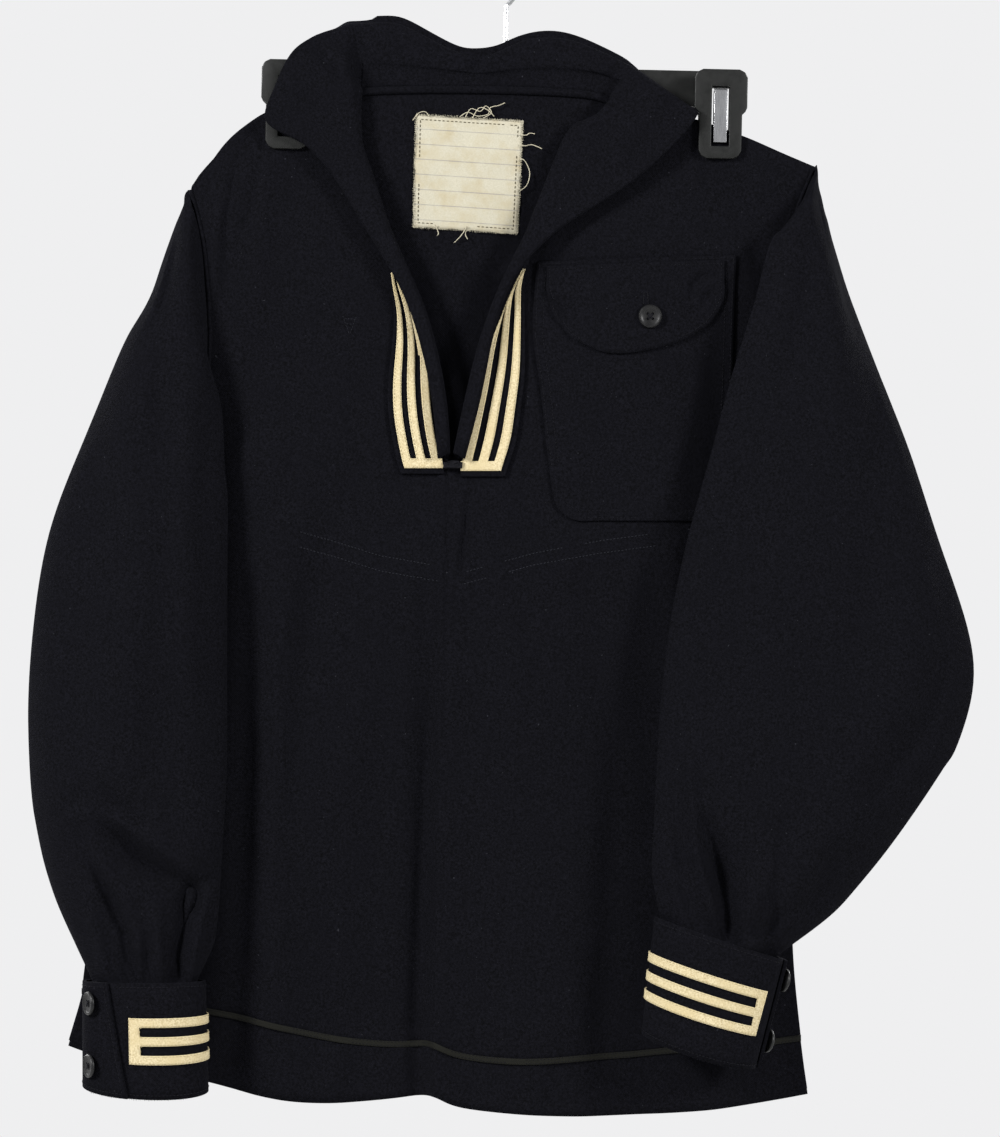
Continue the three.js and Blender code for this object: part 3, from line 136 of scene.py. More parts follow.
def fulled_wool():
    """Fulled navy-black wool: woven, then felted, so a soft nap hides most of the weave. It gives
    the eye a deep matt blue-black with a grain of lighter fibres and a little lint."""
    material, tree, shader, place = new_material("fulled_navy_wool")
    nap = add_node(tree, "TexNoise", {
        "Vector": place, "Scale": noise_scale(WOOL_NAP), "Detail": 3, "Roughness": 0.7})
    cloudy = add_node(tree, "TexNoise", {
        "Vector": place, "Scale": noise_scale(WOOL_CLOUD), "Detail": 4})
    lint = add_node(tree, "TexNoise", {
        "Vector": place, "Scale": noise_scale(WOOL_LINT), "Detail": 1})
    specks = add_node(tree, "MapRange", {
        "Value": lint, "From Min": 0.78, "From Max": 0.84, "To Max": 0.3})
    tone = add_node(tree, "MapRange", {"Value": nap, "From Min": 0.36, "From Max": 0.66})
    depth = add_node(tree, "MapRange", {
        "Value": cloudy, "From Min": 0.35, "From Max": 0.7, "To Max": 0.45})
    fibre = add_node(tree, "Mix", {
        SHARE: tone, FIRST: colour("#08080a"), SECOND: colour("#131318")}, MIXED, data_type="RGBA")
    cloth = add_node(tree, "Mix", {
        SHARE: depth, FIRST: fibre, SECOND: colour("#0d0d11")}, MIXED, data_type="RGBA")
    dusted = add_node(tree, "Mix", {
        SHARE: specks, FIRST: cloth, SECOND: colour("#4a4b52")}, MIXED, data_type="RGBA")
    weave = add_node(tree, "TexWave", {
        "Vector": place, "Scale": wave_scale(WOOL_WEAVE), "Distortion": 3, "Detail": 2,
        "Detail Scale": 2}, "Fac", bands_direction="DIAGONAL")
    relief = add_node(tree, "Mix", {0: 0.3, 2: nap, 3: weave})
    bump = add_node(tree, "Bump", {"Height": relief, "Distance": 0.6 * MM, "Strength": 0.6})
    fill(tree, shader, {
        "Base Color": dusted, "Normal": bump, "Roughness": 0.95, "Specular IOR Level": 0.03,
        "Sheen Weight": 0.02, "Sheen Roughness": 0.4, "Sheen Tint": colour("#8f93a8")})
    return material


def cotton_tape():
    """Cream cotton tape, woven in a fine rib across its width and yellowed a little with age: it
    gives the eye a warm, dry, slightly mottled cream."""
    material, tree, shader, place = new_material("woven_cotton_tape")
    rib = add_node(tree, "TexNoise", {
        "Vector": place, "Scale": noise_scale(TAPE_RIB), "Detail": 3, "Roughness": 0.65})
    ageing = add_node(tree, "TexNoise", {
        "Vector": place, "Scale": noise_scale(TAPE_AGEING), "Detail": 4})
    age = add_node(tree, "MapRange", {"Value": ageing, "From Min": 0.4, "From Max": 0.7})
    grain = add_node(tree, "MapRange", {"Value": rib, "From Min": 0.35, "From Max": 0.6})
    thread = add_node(tree, "Mix", {
        SHARE: grain, FIRST: colour("#ad9d78"), SECOND: colour("#cfc29f")}, MIXED,
        data_type="RGBA")
    aged = add_node(tree, "Mix", {
        SHARE: age, FIRST: thread, SECOND: colour("#c0b088")}, MIXED, data_type="RGBA")
    bump = add_node(tree, "Bump", {"Height": rib, "Distance": 0.3 * MM, "Strength": 0.6})
    fill(tree, shader, {
        "Base Color": aged, "Normal": bump, "Roughness": 0.85, "Specular IOR Level": 0.2})
    return material


def dark_twill():
    """Narrow dark twill tape: flat and a little shinier than the wool, faintly olive."""
    material, tree, shader, place = new_material("dark_twill_tape")
    rib = add_node(tree, "TexWave", {
        "Vector": place, "Scale": wave_scale(TWILL_RIB), "Distortion": 1}, "Fac",
        bands_direction="DIAGONAL")
    shade = add_node(tree, "Mix", {
        SHARE: rib, FIRST: colour("#131311"), SECOND: colour("#1d1d19")}, MIXED, data_type="RGBA")
    bump = add_node(tree, "Bump", {"Height": rib, "Distance": 0.1 * MM, "Strength": 0.4})
    fill(tree, shader, {
        "Base Color": shade, "Normal": bump, "Roughness": 0.75, "Specular IOR Level": 0.07})
    return material


def plain_thread(name, shade):
    """Twisted sewing thread, too fine here for its twist to show: a soft, even colour."""
    material, tree, shader, place = new_material(name)
    fleck = add_node(tree, "TexNoise", {"Vector": place, "Scale": noise_scale(THREAD_FLECK)})
    darker = [c * 0.6 for c in colour(shade)[:3]] + [1]
    tone = add_node(tree, "Mix", {
        SHARE: fleck, FIRST: darker, SECOND: colour(shade)}, MIXED, data_type="RGBA")
    fill(tree, shader, {"Base Color": tone, "Roughness": 0.75, "Specular IOR Level": 0.1})
    return material


def label_cotton():
    """Aged unbleached cotton: a plain weave, browned in patches, with faint ruled lines."""
    material, tree, shader, place = new_material("aged_cotton_label")
    weave = add_node(tree, "TexNoise", {
        "Vector": place, "Scale": noise_scale(LABEL_WEAVE), "Detail": 2})
    stain = add_node(tree, "TexNoise", {
        "Vector": place, "Scale": noise_scale(LABEL_STAIN), "Detail": 5, "Roughness": 0.65})
    blotch = add_node(tree, "MapRange", {"Value": stain, "From Min": 0.42, "From Max": 0.72})
    fibre = add_node(tree, "Mix", {
        SHARE: weave, FIRST: colour("#a5a08e"), SECOND: colour("#bfbaa8")}, MIXED,
        data_type="RGBA")
    aged = add_node(tree, "Mix", {
        SHARE: blotch, FIRST: fibre, SECOND: colour("#aaa086")}, MIXED, data_type="RGBA")
    across = add_node(tree, "SeparateXYZ", {0: place}, "X")
    height = add_node(tree, "SeparateXYZ", {0: place}, "Z")
    tilted = add_node(tree, "Math", {
        0: across, 1: LABEL_LINE_SLOPE, 2: height}, operation="MULTIPLY_ADD")
    spacing = add_node(tree, "Math", {
        0: tilted, 1: LABEL_LINE_PITCH * MM}, operation="FLOORED_MODULO")
    line = add_node(tree, "Math", {0: spacing, 1: LABEL_LINE * MM}, operation="LESS_THAN")
    worn = add_node(tree, "Math", {0: line, 1: stain}, operation="MULTIPLY")
    ruled = add_node(tree, "Mix", {
        SHARE: worn, FIRST: aged, SECOND: colour("#77777a")}, MIXED, data_type="RGBA")
    bump = add_node(tree, "Bump", {"Height": weave, "Distance": 0.25 * MM, "Strength": 0.5})
    fill(tree, shader, {
        "Base Color": ruled, "Normal": bump, "Roughness": 0.9, "Specular IOR Level": 0.2})
    return material


def moulded_plastic(name, low, high, roughness, grain_size):
    """Moulded plastic: a satin skin with a fine cast grain and slight rubs on its faces."""
    material, tree, shader, place = new_material(name)
    grain = add_node(tree, "TexNoise", {
        "Vector": place, "Scale": noise_scale(grain_size), "Detail": 3})
    rubs = add_node(tree, "TexNoise", {
        "Vector": place, "Scale": noise_scale(PLASTIC_RUB), "Detail": 5, "Roughness": 0.7})
    dull = add_node(tree, "MapRange", {
        "Value": rubs, "From Min": 0.35, "From Max": 0.7, "To Min": roughness - 0.08,
        "To Max": roughness + 0.14})
    tone = add_node(tree, "Mix", {
        SHARE: rubs, FIRST: colour(low), SECOND: colour(high)}, MIXED, data_type="RGBA")
    bump = add_node(tree, "Bump", {"Height": grain, "Distance": 0.08 * MM, "Strength": 0.3})
    fill(tree, shader, {
        "Base Color": tone, "Roughness": dull, "Normal": bump, "Specular IOR Level": 0.3})
    return material


def bright_steel():
    """Rolled spring steel and plated wire: bright, with fine marks from rolling and handling."""
    material, tree, shader, place = new_material("bright_spring_steel")
    stretched = add_node(tree, "Mapping", {"Vector": place, "Scale": (1, 1, 0.06)})
    marks = add_node(tree, "TexNoise", {
        "Vector": stretched, "Scale": noise_scale(STEEL_MARK), "Detail": 3})
    dull = add_node(tree, "MapRange", {"Value": marks, "To Min": 0.16, "To Max": 0.42})
    fill(tree, shader, {"Base Color": colour("#c3c4c6"), "Metallic": 1, "Roughness": dull})
    return material


WOOL = fulled_wool()
TAPE = cotton_tape()
TWILL = dark_twill()
LABEL = label_cotton()
BUTTON = moulded_plastic("moulded_button", "#0b0b0c", "#171718", 0.42, 1.2)
HANGER = moulded_plastic("moulded_black_styrene", "#0d0e0d", "#171817", 0.5, 0.7)
STEEL = bright_steel()
DARK_THREAD = plain_thread("dark_sewing_thread", "#17171c")
TAPE_THREAD = plain_thread("cream_sewing_thread", "#bdb08a")
BROWN_THREAD = plain_thread("aged_label_thread", "#5a5340")
LABEL_THREAD = plain_thread("raw_cotton_thread", "#c4bda6")
WORN_THREAD = plain_thread("worn_wool_fibre", "#26272d")


# Meshes
def coordinates(mesh):
    places = np.empty(len(mesh.vertices) * 3)
    mesh.vertices.foreach_get("co", places)
    return places.reshape(-1, 3) / MM


def set_coordinates(mesh, places):
    mesh.vertices.foreach_set("co", (places * MM).ravel())
    mesh.update()


def only(piece):
    """Selects one piece and makes it the active one."""
    bpy.ops.object.select_all(action="DESELECT")
    piece.select_set(True)
    bpy.context.view_layer.objects.active = piece


def new_piece(name, mesh, material):
    """Links a mesh as a piece of the jumper that moves with its one body."""
    piece = bpy.data.objects.new(name, mesh)
    bpy.context.scene.collection.objects.link(piece)
    piece.data.materials.clear()
    piece.data.materials.append(material)
    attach(piece, BODY)
    return piece


def filled_mesh(work, mesh):
    """Puts the work on a mesh into it and ends that work."""
    work.to_mesh(mesh)
    work.free()
    return mesh


SAME_PLACE = 0.01 * MM
WELD_REACH = 0.4 * MM


def welded(nodes):
    """One mesh of one or more nodes, its corners merged. Where two nodes meet in a narrow seam,
    the rims that face each other are taken out and the seam is closed."""
    work = bmesh.new()
    for node in nodes:
        work.from_mesh(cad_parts[node].data)
    bmesh.ops.remove_doubles(work, verts=work.verts, dist=SAME_PLACE)
    if len(nodes) > 1:
        search = KDTree(len(work.verts))
        for i, corner in enumerate(work.verts):
            search.insert(corner.co, i)
        search.balance()
        seam = [c for c in work.verts if len(search.find_range(c.co, WELD_REACH)) > 1]
        met = set(seam)
        rims = [f for f in work.faces if all(c in met for c in f.verts)]
        bmesh.ops.delete(work, geom=rims, context="FACES")
        bmesh.ops.remove_doubles(work, verts=seam, dist=WELD_REACH)
    return filled_mesh(work, bpy.data.meshes.new(nodes[0]))


PAIR_FOLD, PAIR_SKEW = math.radians(50), math.radians(120)


def copied(nodes, name, material):
    """A piece from one or more nodes' meshes, merged, with its triangles paired."""
    piece = new_piece(name, welded(nodes), material)
    only(piece)
    bpy.ops.object.mode_set(mode="EDIT")
    bpy.ops.mesh.select_all(action="SELECT")
    bpy.ops.mesh.tris_convert_to_quads(face_threshold=PAIR_FOLD, shape_threshold=PAIR_SKEW)
    bpy.ops.object.mode_set(mode="OBJECT")
    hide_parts(*nodes)
    return piece


RIM_ANGLE = math.radians(65)


def crease_rims(piece, thickness):
    """Keeps the cut edges of a wall square: edges where a narrow rim face meets a side."""
    mesh = piece.data
    work = bmesh.new()
    work.from_mesh(mesh)
    layer = work.edges.layers.float.get("crease_edge") or work.edges.layers.float.new("crease_edge")
    for edge in work.edges:
        if len(edge.link_faces) == 2 and edge.calc_face_angle(0) > RIM_ANGLE:
            narrow = [min(e.calc_length() for e in f.edges) < thickness * 1.4 * MM
                      for f in edge.link_faces]
            if any(narrow):
                edge[layer] = 1
    filled_mesh(work, mesh)


SOFT_ANGLE = math.radians(50)
FITTING_PASSES, FITTING_SHARE = 3, 0.85


def smooth(piece, thickness, levels):
    """Subdivides a wall so that its smooth surface still runs through its own corners."""
    only(piece)
    if levels == 0:
        bpy.ops.object.shade_smooth_by_angle(angle=SOFT_ANGLE)
        return
    crease_rims(piece, thickness)
    modifier = piece.modifiers.new("smooth", "SUBSURF")
    modifier.levels = 1
    modifier.render_levels = 1
    aim = coordinates(piece.data)
    corners = aim.copy()
    for _ in range(FITTING_PASSES):
        shown = piece.evaluated_get(bpy.context.evaluated_depsgraph_get())
        reached = coordinates(shown.to_mesh())[:len(aim)]
        shown.to_mesh_clear()
        corners += FITTING_SHARE * (aim - reached)
        set_coordinates(piece.data, corners)
        bpy.context.view_layer.update()
    modifier.levels = levels
    modifier.render_levels = levels
    bpy.ops.object.modifier_apply(modifier=modifier.name)
    bpy.ops.object.shade_smooth_by_angle(angle=SOFT_ANGLE)


# Creases: (x, z, x, z ... along its line), width, depth. Depth is towards the outside, so a trough
# is below 0. At each end of its line a crease starts from a small share of its run.
CREASE_STRENGTH = 1.45
CREASE_END, CREASE_FULLNESS = 0.08, 0.6


def crease_lift(places, crease):
    """How far one crease moves each place: deepest on its line, fading aside and at its ends."""
    line, width, depth = crease
    depth *= CREASE_STRENGTH
    points = np.array(line, float).reshape(-1, 2)
    steps = np.linalg.norm(np.diff(points, axis=0), axis=1)
    away = np.full(len(places), 1e9)
    run = np.zeros(len(places))
    flat = places[:, [0, 2]]
    for i, step in enumerate(steps):
        along = points[i + 1] - points[i]
        share = np.clip((flat - points[i]) @ along / step ** 2, 0, 1)
        off = np.linalg.norm(flat - points[i] - share[:, None] * along, axis=1)
        nearer = off < away
        away = np.where(nearer, off, away)
        run = np.where(nearer, (steps[:i].sum() + share * step) / steps.sum(), run)
    taper = np.sin(math.pi * (CREASE_END + (1 - 2 * CREASE_END) * run)) ** CREASE_FULLNESS
    return depth * taper * np.exp(-(away / width) ** 2)


def unevenness(places, size, height, seed):
    """Low uneven swells of a given size over a surface, the same each time."""
    shift = Vector((seed * 17.3, seed * 5.1, seed * 9.7))
    return np.array([noise.noise(Vector(p) / size + shift) for p in places]) * height


SWAY = 5.5
SWAY_SIZE = (58, 210)
SWAY_TOP, SWAY_TOP_FADE = -150, 110
SWAY_FOOT, SWAY_FOOT_FADE = -745, 90


def sway(places):
    """Slow upright folds that body and sleeves share, gone at the clips and at the cuffs."""
    wide, tall = SWAY_SIZE
    depth = np.array([noise.noise(Vector((x / wide, 3.7, z / tall))) for x, _, z in places])
    z = places[:, 2]
    free = (np.clip((SWAY_TOP - z) / SWAY_TOP_FADE, 0, 1)
            * np.clip((z - SWAY_FOOT) / SWAY_FOOT_FADE, 0, 1))
    return depth * SWAY * free


def crease_all(places, creases):
    lift = np.zeros(len(places))
    for crease in creases:
        lift += crease_lift(places, crease)
    return lift


FRONT_CREASES = [
    ([-183, -139, -195, -196, -202, -226, -206, -262], 8, -3.4),
    ([-205, -170, -212, -210, -213, -262], 6, 2.2), ([-172, -150, -180, -210, -184, -280], 9, 2),
    ([-47, -392, -51, -626, -54, -801, -54, -846], 3, 2),
    ([-58, -470, -64, -700, -67, -846], 8, -3.6),
    ([-28, -399, -30.5, -423, -35.5, -465], 1.8, -2.2), ([-22, -402, -25, -423, -29, -460], 3, 1.3),
    ([-94, -399, -74, -396, -52, -392], 3, -1.8), ([-18, -420, 4, -520, 2, -640], 12, 2.2),
    ([-96, -470, -112, -600, -118, -760], 16, 3), ([-120, -400, -146, -520, -160, -700], 15, -3.2),
    ([-186, -470, -190, -620, -194, -760, -196, -835], 11, -3.6),
    ([-160, -420, -166, -560, -168, -790], 12, 2.6), ([60, -470, 72, -620, 66, -846], 14, -3),
    ([118, -440, 126, -600, 138, -800], 11, 2.4), ([-150, -260, -110, -300, -92, -340], 12, -2.2),
    ([-160, -180, -130, -230, -104, -300], 14, 1.6),
    ([-150, -330, -130, -380, -100, -420], 13, 1.6), ([150, -170, 176, -210, 190, -260], 9, -2.4),
    ([34, -210, 22, -250], 8, 1.4), ([-120, -800, -126, -846], 12, 3),
    ([-200, -790, -212, -835], 14, -3), ([40, -812, 36, -854], 16, -3),
    ([140, -806, 150, -850], 14, 2.8),
]
YOKE_LINES = [
    [[-151, -432], [-128, -438.5], [-92, -449.5], [-55, -456]],
    [[-151, -443], [-128, -449.5], [-92, -460.5], [-50, -468]],
    [[-30.5, -461], [19, -447.5], [67, -438.5], [139, -429]],
    [[-32.5, -470], [19, -456], [67, -447.5], [139, -438]],
]
YOKE_GROOVE = (1.5, -0.8)
BACK_CREASES = [
    ([-186, -150, -200, -210, -206, -262], 9, -2.8), ([176, -160, 186, -210, 186, -262], 9, -2.8),
    ([-120, -380, -140, -560, -150, -800], 15, 3.2), ([-40, -370, -52, -560, -60, -845], 16, -3.4),
    ([40, -380, 52, -560, 40, -845], 13, 2.8), ([130, -380, 128, -600, 136, -840], 14, -3.2),
    ([-200, -420, -230, -600, -250, -800], 12, -2.8), ([-10, -800, -6, -850], 15, 3),
    ([90, -800, 96, -850], 12, -2.6),
]
LEFT_SLEEVE_CREASES = [
    ([-321, -633, -302, -618, -276, -630, -262, -645], 6, -3.2),
    ([-286, -648, -256, -673, -232, -686], 6, -5), ([-276, -640, -246, -660, -222, -676], 6, 3),
    ([-223, -686, -232, -706], 8, -5), ([-228, -690, -237, -736, -236, -757], 3.4, -5.5),
    ([-216, -690, -223, -730, -226, -757], 4, 3.2), ([-250, -700, -249, -730, -247, -757], 5, 3),
    ([-311, -643, -286, -692, -274, -717, -269, -757], 5, -4),
    ([-300, -660, -276, -690, -262, -730], 6, 2.6), ([-302, -690, -292, -722, -288, -757], 5, 2.4),
    ([-258, -722, -258, -757], 3, -2.6), ([-246, -230, -252, -300, -250, -380], 10, -3),
    ([-228, -300, -232, -420, -228, -560], 10, 2.2),
    ([-290, -380, -306, -480, -308, -600], 13, -2.6),
    ([-262, -420, -272, -520, -268, -620], 14, 2.2),
]
RIGHT_SLEEVE_CREASES = [
    ([129, -590, 134, -658, 146, -699, 152, -726], 4.5, 4.5),
    ([143, -640, 149, -668, 157, -701, 158, -728], 5.5, -6),
    ([118, -640, 126, -689, 138, -716], 5, -3.4), ([170, -650, 174, -690, 172, -730], 6, 3),
    ([198, -640, 192, -690, 184, -734], 6, -3.4), ([226, -650, 210, -690, 196, -718], 8, 2.4),
    ([222, -196, 216, -260, 196, -340], 10, -3.2), ([240, -250, 232, -340, 214, -440], 13, 2.4),
    ([268, -340, 262, -440, 250, -540], 15, -3), ([180, -330, 160, -440, 140, -560], 13, -2.6),
    ([300, -470, 270, -560, 222, -640], 15, 2.4), ([318, -520, 300, -570, 262, -622], 9, -2.6),
]
COLLAR_CREASES = [
    ([-141, -78, -130, -94, -118, -111], 3.5, -2.4), ([-119, -64, -119, -96, -114, -128], 5, 1.8),
    ([-107, -62, -106, -96, -103, -128], 5, -3), ([-18, -82, -22, -92, -26, -101], 3, -2.6),
    ([80, -96, 54, -123, 41, -142], 4.5, -3), ([90, -100, 64, -128, 50, -150], 5, 2),
    ([112, -104, 100, -130, 80, -160], 8, 1.4), ([-150, -100, -158, -120, -150, -140], 8, 1.4),
]
FLAP_CREASES = [
    ([133, -262, 134, -253, 141, -247, 150, -246], 2.2, -1.6),
    ([138, -265, 141, -256, 148, -253], 3, 1.2),
    ([25, -264, 34, -266, 39, -273, 37, -284], 2.4, -1.6),
    ([26, -258, 38, -259, 46, -268], 3.4, 1.2),
]


def side_weight(places, depth_of, facing, soft=5):
    """1 on the side of a flattened tube that faces front (-1) or back (+1), 0 on the other."""
    centre = np.interp(-places[:, 2], [-z for z, _ in depth_of], [y for _, y in depth_of])
    return np.clip((places[:, 1] - centre) * facing / soft + 0.5, 0, 1)


# How deep the middle of each sleeve lies: (z, y)
LEFT_SLEEVE_CENTRE = [(-183, -13), (-256, -26), (-350, -40), (-500, -49), (-660, -52), (-760, -58)]
RIGHT_SLEEVE_CENTRE = [(-166, -14), (-268, -33), (-378, -44), (-534, -53), (-670, -57), (-745, -62)]


SWELLS, RIPPLES, RIPPLE_SHARE = 42, 15, 0.3
CREASE_FADE = 3


def wool_piece(nodes, thickness, levels, front=(), back=(), centre=None, uneven=0.5, seed=1,
               before=None):
    """Dresses a piece of cloth: smooth, creased on its front and back, and slightly uneven.
    Where before is given, only what lies nearer the viewer than that depth is creased."""
    piece = copied(nodes, f"cloth_{nodes[0]}", WOOL)
    smooth(piece, thickness, levels)
    places = coordinates(piece.data)
    facing_front = np.ones(len(places)) if centre is None else side_weight(places, centre, -1)
    if before is not None:
        facing_front *= np.clip((before - places[:, 1]) / CREASE_FADE, 0, 1)
    facing_back = np.zeros(len(places)) if centre is None else side_weight(places, centre, 1)
    places[:, 1] -= crease_all(places, front) * facing_front
    places[:, 1] += crease_all(places, back) * facing_back
    places[:, 1] += (unevenness(places, SWELLS, uneven, seed)
                     + unevenness(places, RIPPLES, uneven * RIPPLE_SHARE, seed))
    if before is None:
        places[:, 1] += sway(places)
    set_coordinates(piece.data, places)
    return piece


def scaled(creases, share):
    """The same creases, all deeper or shallower by a share."""
    return [(line, width, depth * share) for line, width, depth in creases]


CLOTH, CUFF_CLOTH = 2, 2.6
BACK_SHARE = 0.6
COLLAR_FRONT = -12
yoke = [(line, *YOKE_GROOVE) for line in YOKE_LINES]
front = wool_piece(["body_front", "front_yoke"], CLOTH, 3, front=FRONT_CREASES + yoke, uneven=1.1,
                   seed=1)
back = wool_piece(["body_back"], CLOTH, 2, front=scaled(BACK_CREASES, -1), uneven=1.1, seed=2)
sleeve_left = wool_piece(["sleeve_left"], CLOTH, 3, front=LEFT_SLEEVE_CREASES,
                         back=scaled(LEFT_SLEEVE_CREASES, BACK_SHARE),
                         centre=LEFT_SLEEVE_CENTRE, uneven=1.3, seed=3)
sleeve_right = wool_piece(["sleeve_right"], CLOTH, 3, front=RIGHT_SLEEVE_CREASES,
                          back=scaled(RIGHT_SLEEVE_CREASES, BACK_SHARE),
                          centre=RIGHT_SLEEVE_CENTRE, uneven=1.3, seed=4)
cuff_left = wool_piece(["cuff_left"], CUFF_CLOTH, 2, seed=5)
cuff_right = wool_piece(["cuff_right"], CUFF_CLOTH, 2, seed=6)
collar = wool_piece(["collar"], CLOTH, 2, front=COLLAR_CREASES, uneven=0.6, seed=7,
                    before=COLLAR_FRONT)


def relax(piece, middle, reach, passes):
    """Evens out a rough place on a piece, within a reach of a point."""
    work = bmesh.new()
    work.from_mesh(piece.data)
    near = [c for c in work.verts if (c.co / MM - Vector(middle)).length < reach]
    for _ in range(passes):
        bmesh.ops.smooth_vert(work, verts=near, factor=0.5, use_axis_x=True, use_axis_y=True,
                              use_axis_z=True)
    filled_mesh(work, piece.data)


COLLAR_WING = (-116, -20, -60)
relax(collar, COLLAR_WING, reach=24, passes=10)


def tree_of(mesh):
    """Search tree of a mesh, in millimetres."""
    places = coordinates(mesh)
    faces = [list(polygon.vertices) for polygon in mesh.polygons]
    return BVHTree.FromPolygons([Vector(p) for p in places], faces)


FAR = 400


def depth_at(tree, x, z, facing=-1):
    """Depth of the first surface met from the front (-1) or the back (+1)."""
    hit = tree.ray_cast(Vector((x, FAR * facing, z)), Vector((0, -facing, 0)))
    return None if hit[0] is None else hit[0].y


class Laid:
    """Lays pieces on a dressed panel at the height they have over the plain one."""

    def __init__(self, nodes, dressed, facing):
        self.plain = tree_of(welded(nodes))
        self.dressed = tree_of(dressed.data)
        self.facing = facing

    def shift(self, x, z):
        before = depth_at(self.plain, x, z, self.facing)
        after = depth_at(self.dressed, x, z, self.facing)
        return 0 if before is None or after is None else after - before

    def lay(self, piece):
        places = coordinates(piece.data)
        places[:, 1] += [self.shift(x, z) for x, _, z in places]
        set_coordinates(piece.data, places)
        return piece


on_front = Laid(["body_front", "front_yoke"], front, -1)
on_back = Laid(["body_back"], back, 1)
inside_back = Laid(["body_back"], back, -1)
on_flap = Laid(["collar"], collar, 1)


def laid_piece(node, thickness, levels, material, panel=None):
    piece = copied([node], f"trim_{node}", material)
    smooth(piece, thickness, levels)
    return panel.lay(piece) if panel else piece


SIDES = ("left", "right")
THIN, FOLDED = 1, 1.6
ends = [laid_piece(f"collar_end_{side}", CLOTH, 2, WOOL, on_front)
        for side in SIDES]
end_tapes = [laid_piece(f"collar_tape_{side}", THIN, 2, TAPE, on_front)
             for side in SIDES]
pocket = laid_piece("pocket", THIN, 3, WOOL, on_front)
pocket_flap = laid_piece("pocket_flap", FOLDED, 3, WOOL, on_front)
hem_front = laid_piece("hem_tape_front", THIN, 2, TWILL, on_front)
hem_back = laid_piece("hem_tape_back", THIN, 2, TWILL, on_back)
tack = laid_piece("neck_tack", FOLDED, 2, DARK_THREAD, on_front)
cuff_tapes = [laid_piece(f"cuff_tape_{side}", THIN, 2, TAPE) for side in SIDES]
flap_tapes = [laid_piece(f"flap_tape_{name}", THIN, 0, TAPE, on_flap)
              for name in ("outer", "middle", "inner")]
label = laid_piece("label", THIN, 5, LABEL, inside_back)
for piece, creases in ((pocket_flap, FLAP_CREASES), (pocket, FLAP_CREASES[1:2])):
    places = coordinates(piece.data)
    places[:, 1] -= crease_all(places, creases) + unevenness(places, size=20, height=0.35, seed=9)
    set_coordinates(piece.data, places)


# The end bars of the cuffs' tape are narrower than the solids': each is drawn in along its rows.
LEAST_MOVE = 0.01


def draw_in(piece, over, direction, before, after):
    """Moves a tape's places along a direction, keeping their height over the cloth below."""
    places = coordinates(piece.data)
    tree = tree_of(over.data)
    run = places[:, [0, 2]] @ np.array(direction)
    shift = np.interp(run, before, np.array(after) - np.array(before))
    for place, move in zip(places, shift):
        if abs(move) > LEAST_MOVE:
            was = depth_at(tree, place[0], place[2])
            place[0] += move * direction[0]
            place[2] += move * direction[1]
            now = depth_at(tree, place[0], place[2])
            if was is not None and now is not None:
                place[1] += now - was
    set_coordinates(piece.data, places)


draw_in(cuff_tapes[0], cuff_left, direction=(1, 0), before=[-277, -264, -252],
        after=[-273.6, -266.6, -252])
draw_in(cuff_tapes[1], cuff_right, direction=(0.948, -0.319), before=[404, 414.3, 422.5],
        after=[404, 416.2, 421.2])


# Worn edges of the label: its border wanders a little
LABEL_CORNERS = [(-67, -128), (11, -133), (7, -215), (-69, -210)]
FRAY_WAVE = 3.2


def fray(piece, corners, reach, wander):
    """Moves the places near a flat piece's border in and out by an uneven amount."""
    places = coordinates(piece.data)
    for (x0, z0), (x1, z1) in zip(corners, corners[1:] + corners[:1]):
        along = np.array([x1 - x0, z1 - z0]) / math.hypot(x1 - x0, z1 - z0)
        outward = np.array([-along[1], along[0]])
        off = (places[:, [0, 2]] - [x0, z0]) @ outward
        edge = np.clip(1 + off / reach, 0, 1)
        wave = np.array([noise.noise(Vector((x / FRAY_WAVE, 0.4, z / FRAY_WAVE)))
                         for x, _, z in places])
        places[:, 0] += outward[0] * wave * wander * edge
        places[:, 2] += outward[1] * wave * wander * edge
    places[:, 1] += unevenness(places, size=16, height=0.5, seed=11)
    set_coordinates(piece.data, places)


fray(label, LABEL_CORNERS, reach=3, wander=1.1)


# Hard parts of the hanger, with their edges broken
FLAT_ANGLE, SHARP_ANGLE, HARD_ANGLE = math.radians(1), math.radians(35), math.radians(40)


def hard_piece(node, material, bevel):
    piece = copied([node], f"hard_{node}", material)
    only(piece)
    bpy.ops.object.mode_set(mode="EDIT")
    bpy.ops.mesh.select_all(action="SELECT")
    bpy.ops.mesh.dissolve_limited(angle_limit=FLAT_ANGLE)
    bpy.ops.object.mode_set(mode="OBJECT")
    modifier = piece.modifiers.new("edges", "BEVEL")
    modifier.width = bevel * MM
    modifier.segments = 3
    modifier.limit_method = "ANGLE"
    modifier.angle_limit = SHARP_ANGLE
    bpy.ops.object.modifier_apply(modifier=modifier.name)
    bpy.ops.object.shade_smooth_by_angle(angle=HARD_ANGLE)


hard_piece("hanger_bar", HANGER, bevel=0.9)
for side in SIDES:
    hard_piece(f"clip_jaw_{side}", HANGER, bevel=0.9)
    hard_piece(f"clip_spring_{side}", STEEL, bevel=0.2)
hook = copied(["hanger_hook"], "hard_hanger_hook", STEEL)
smooth(hook, thickness=1.7, levels=2)


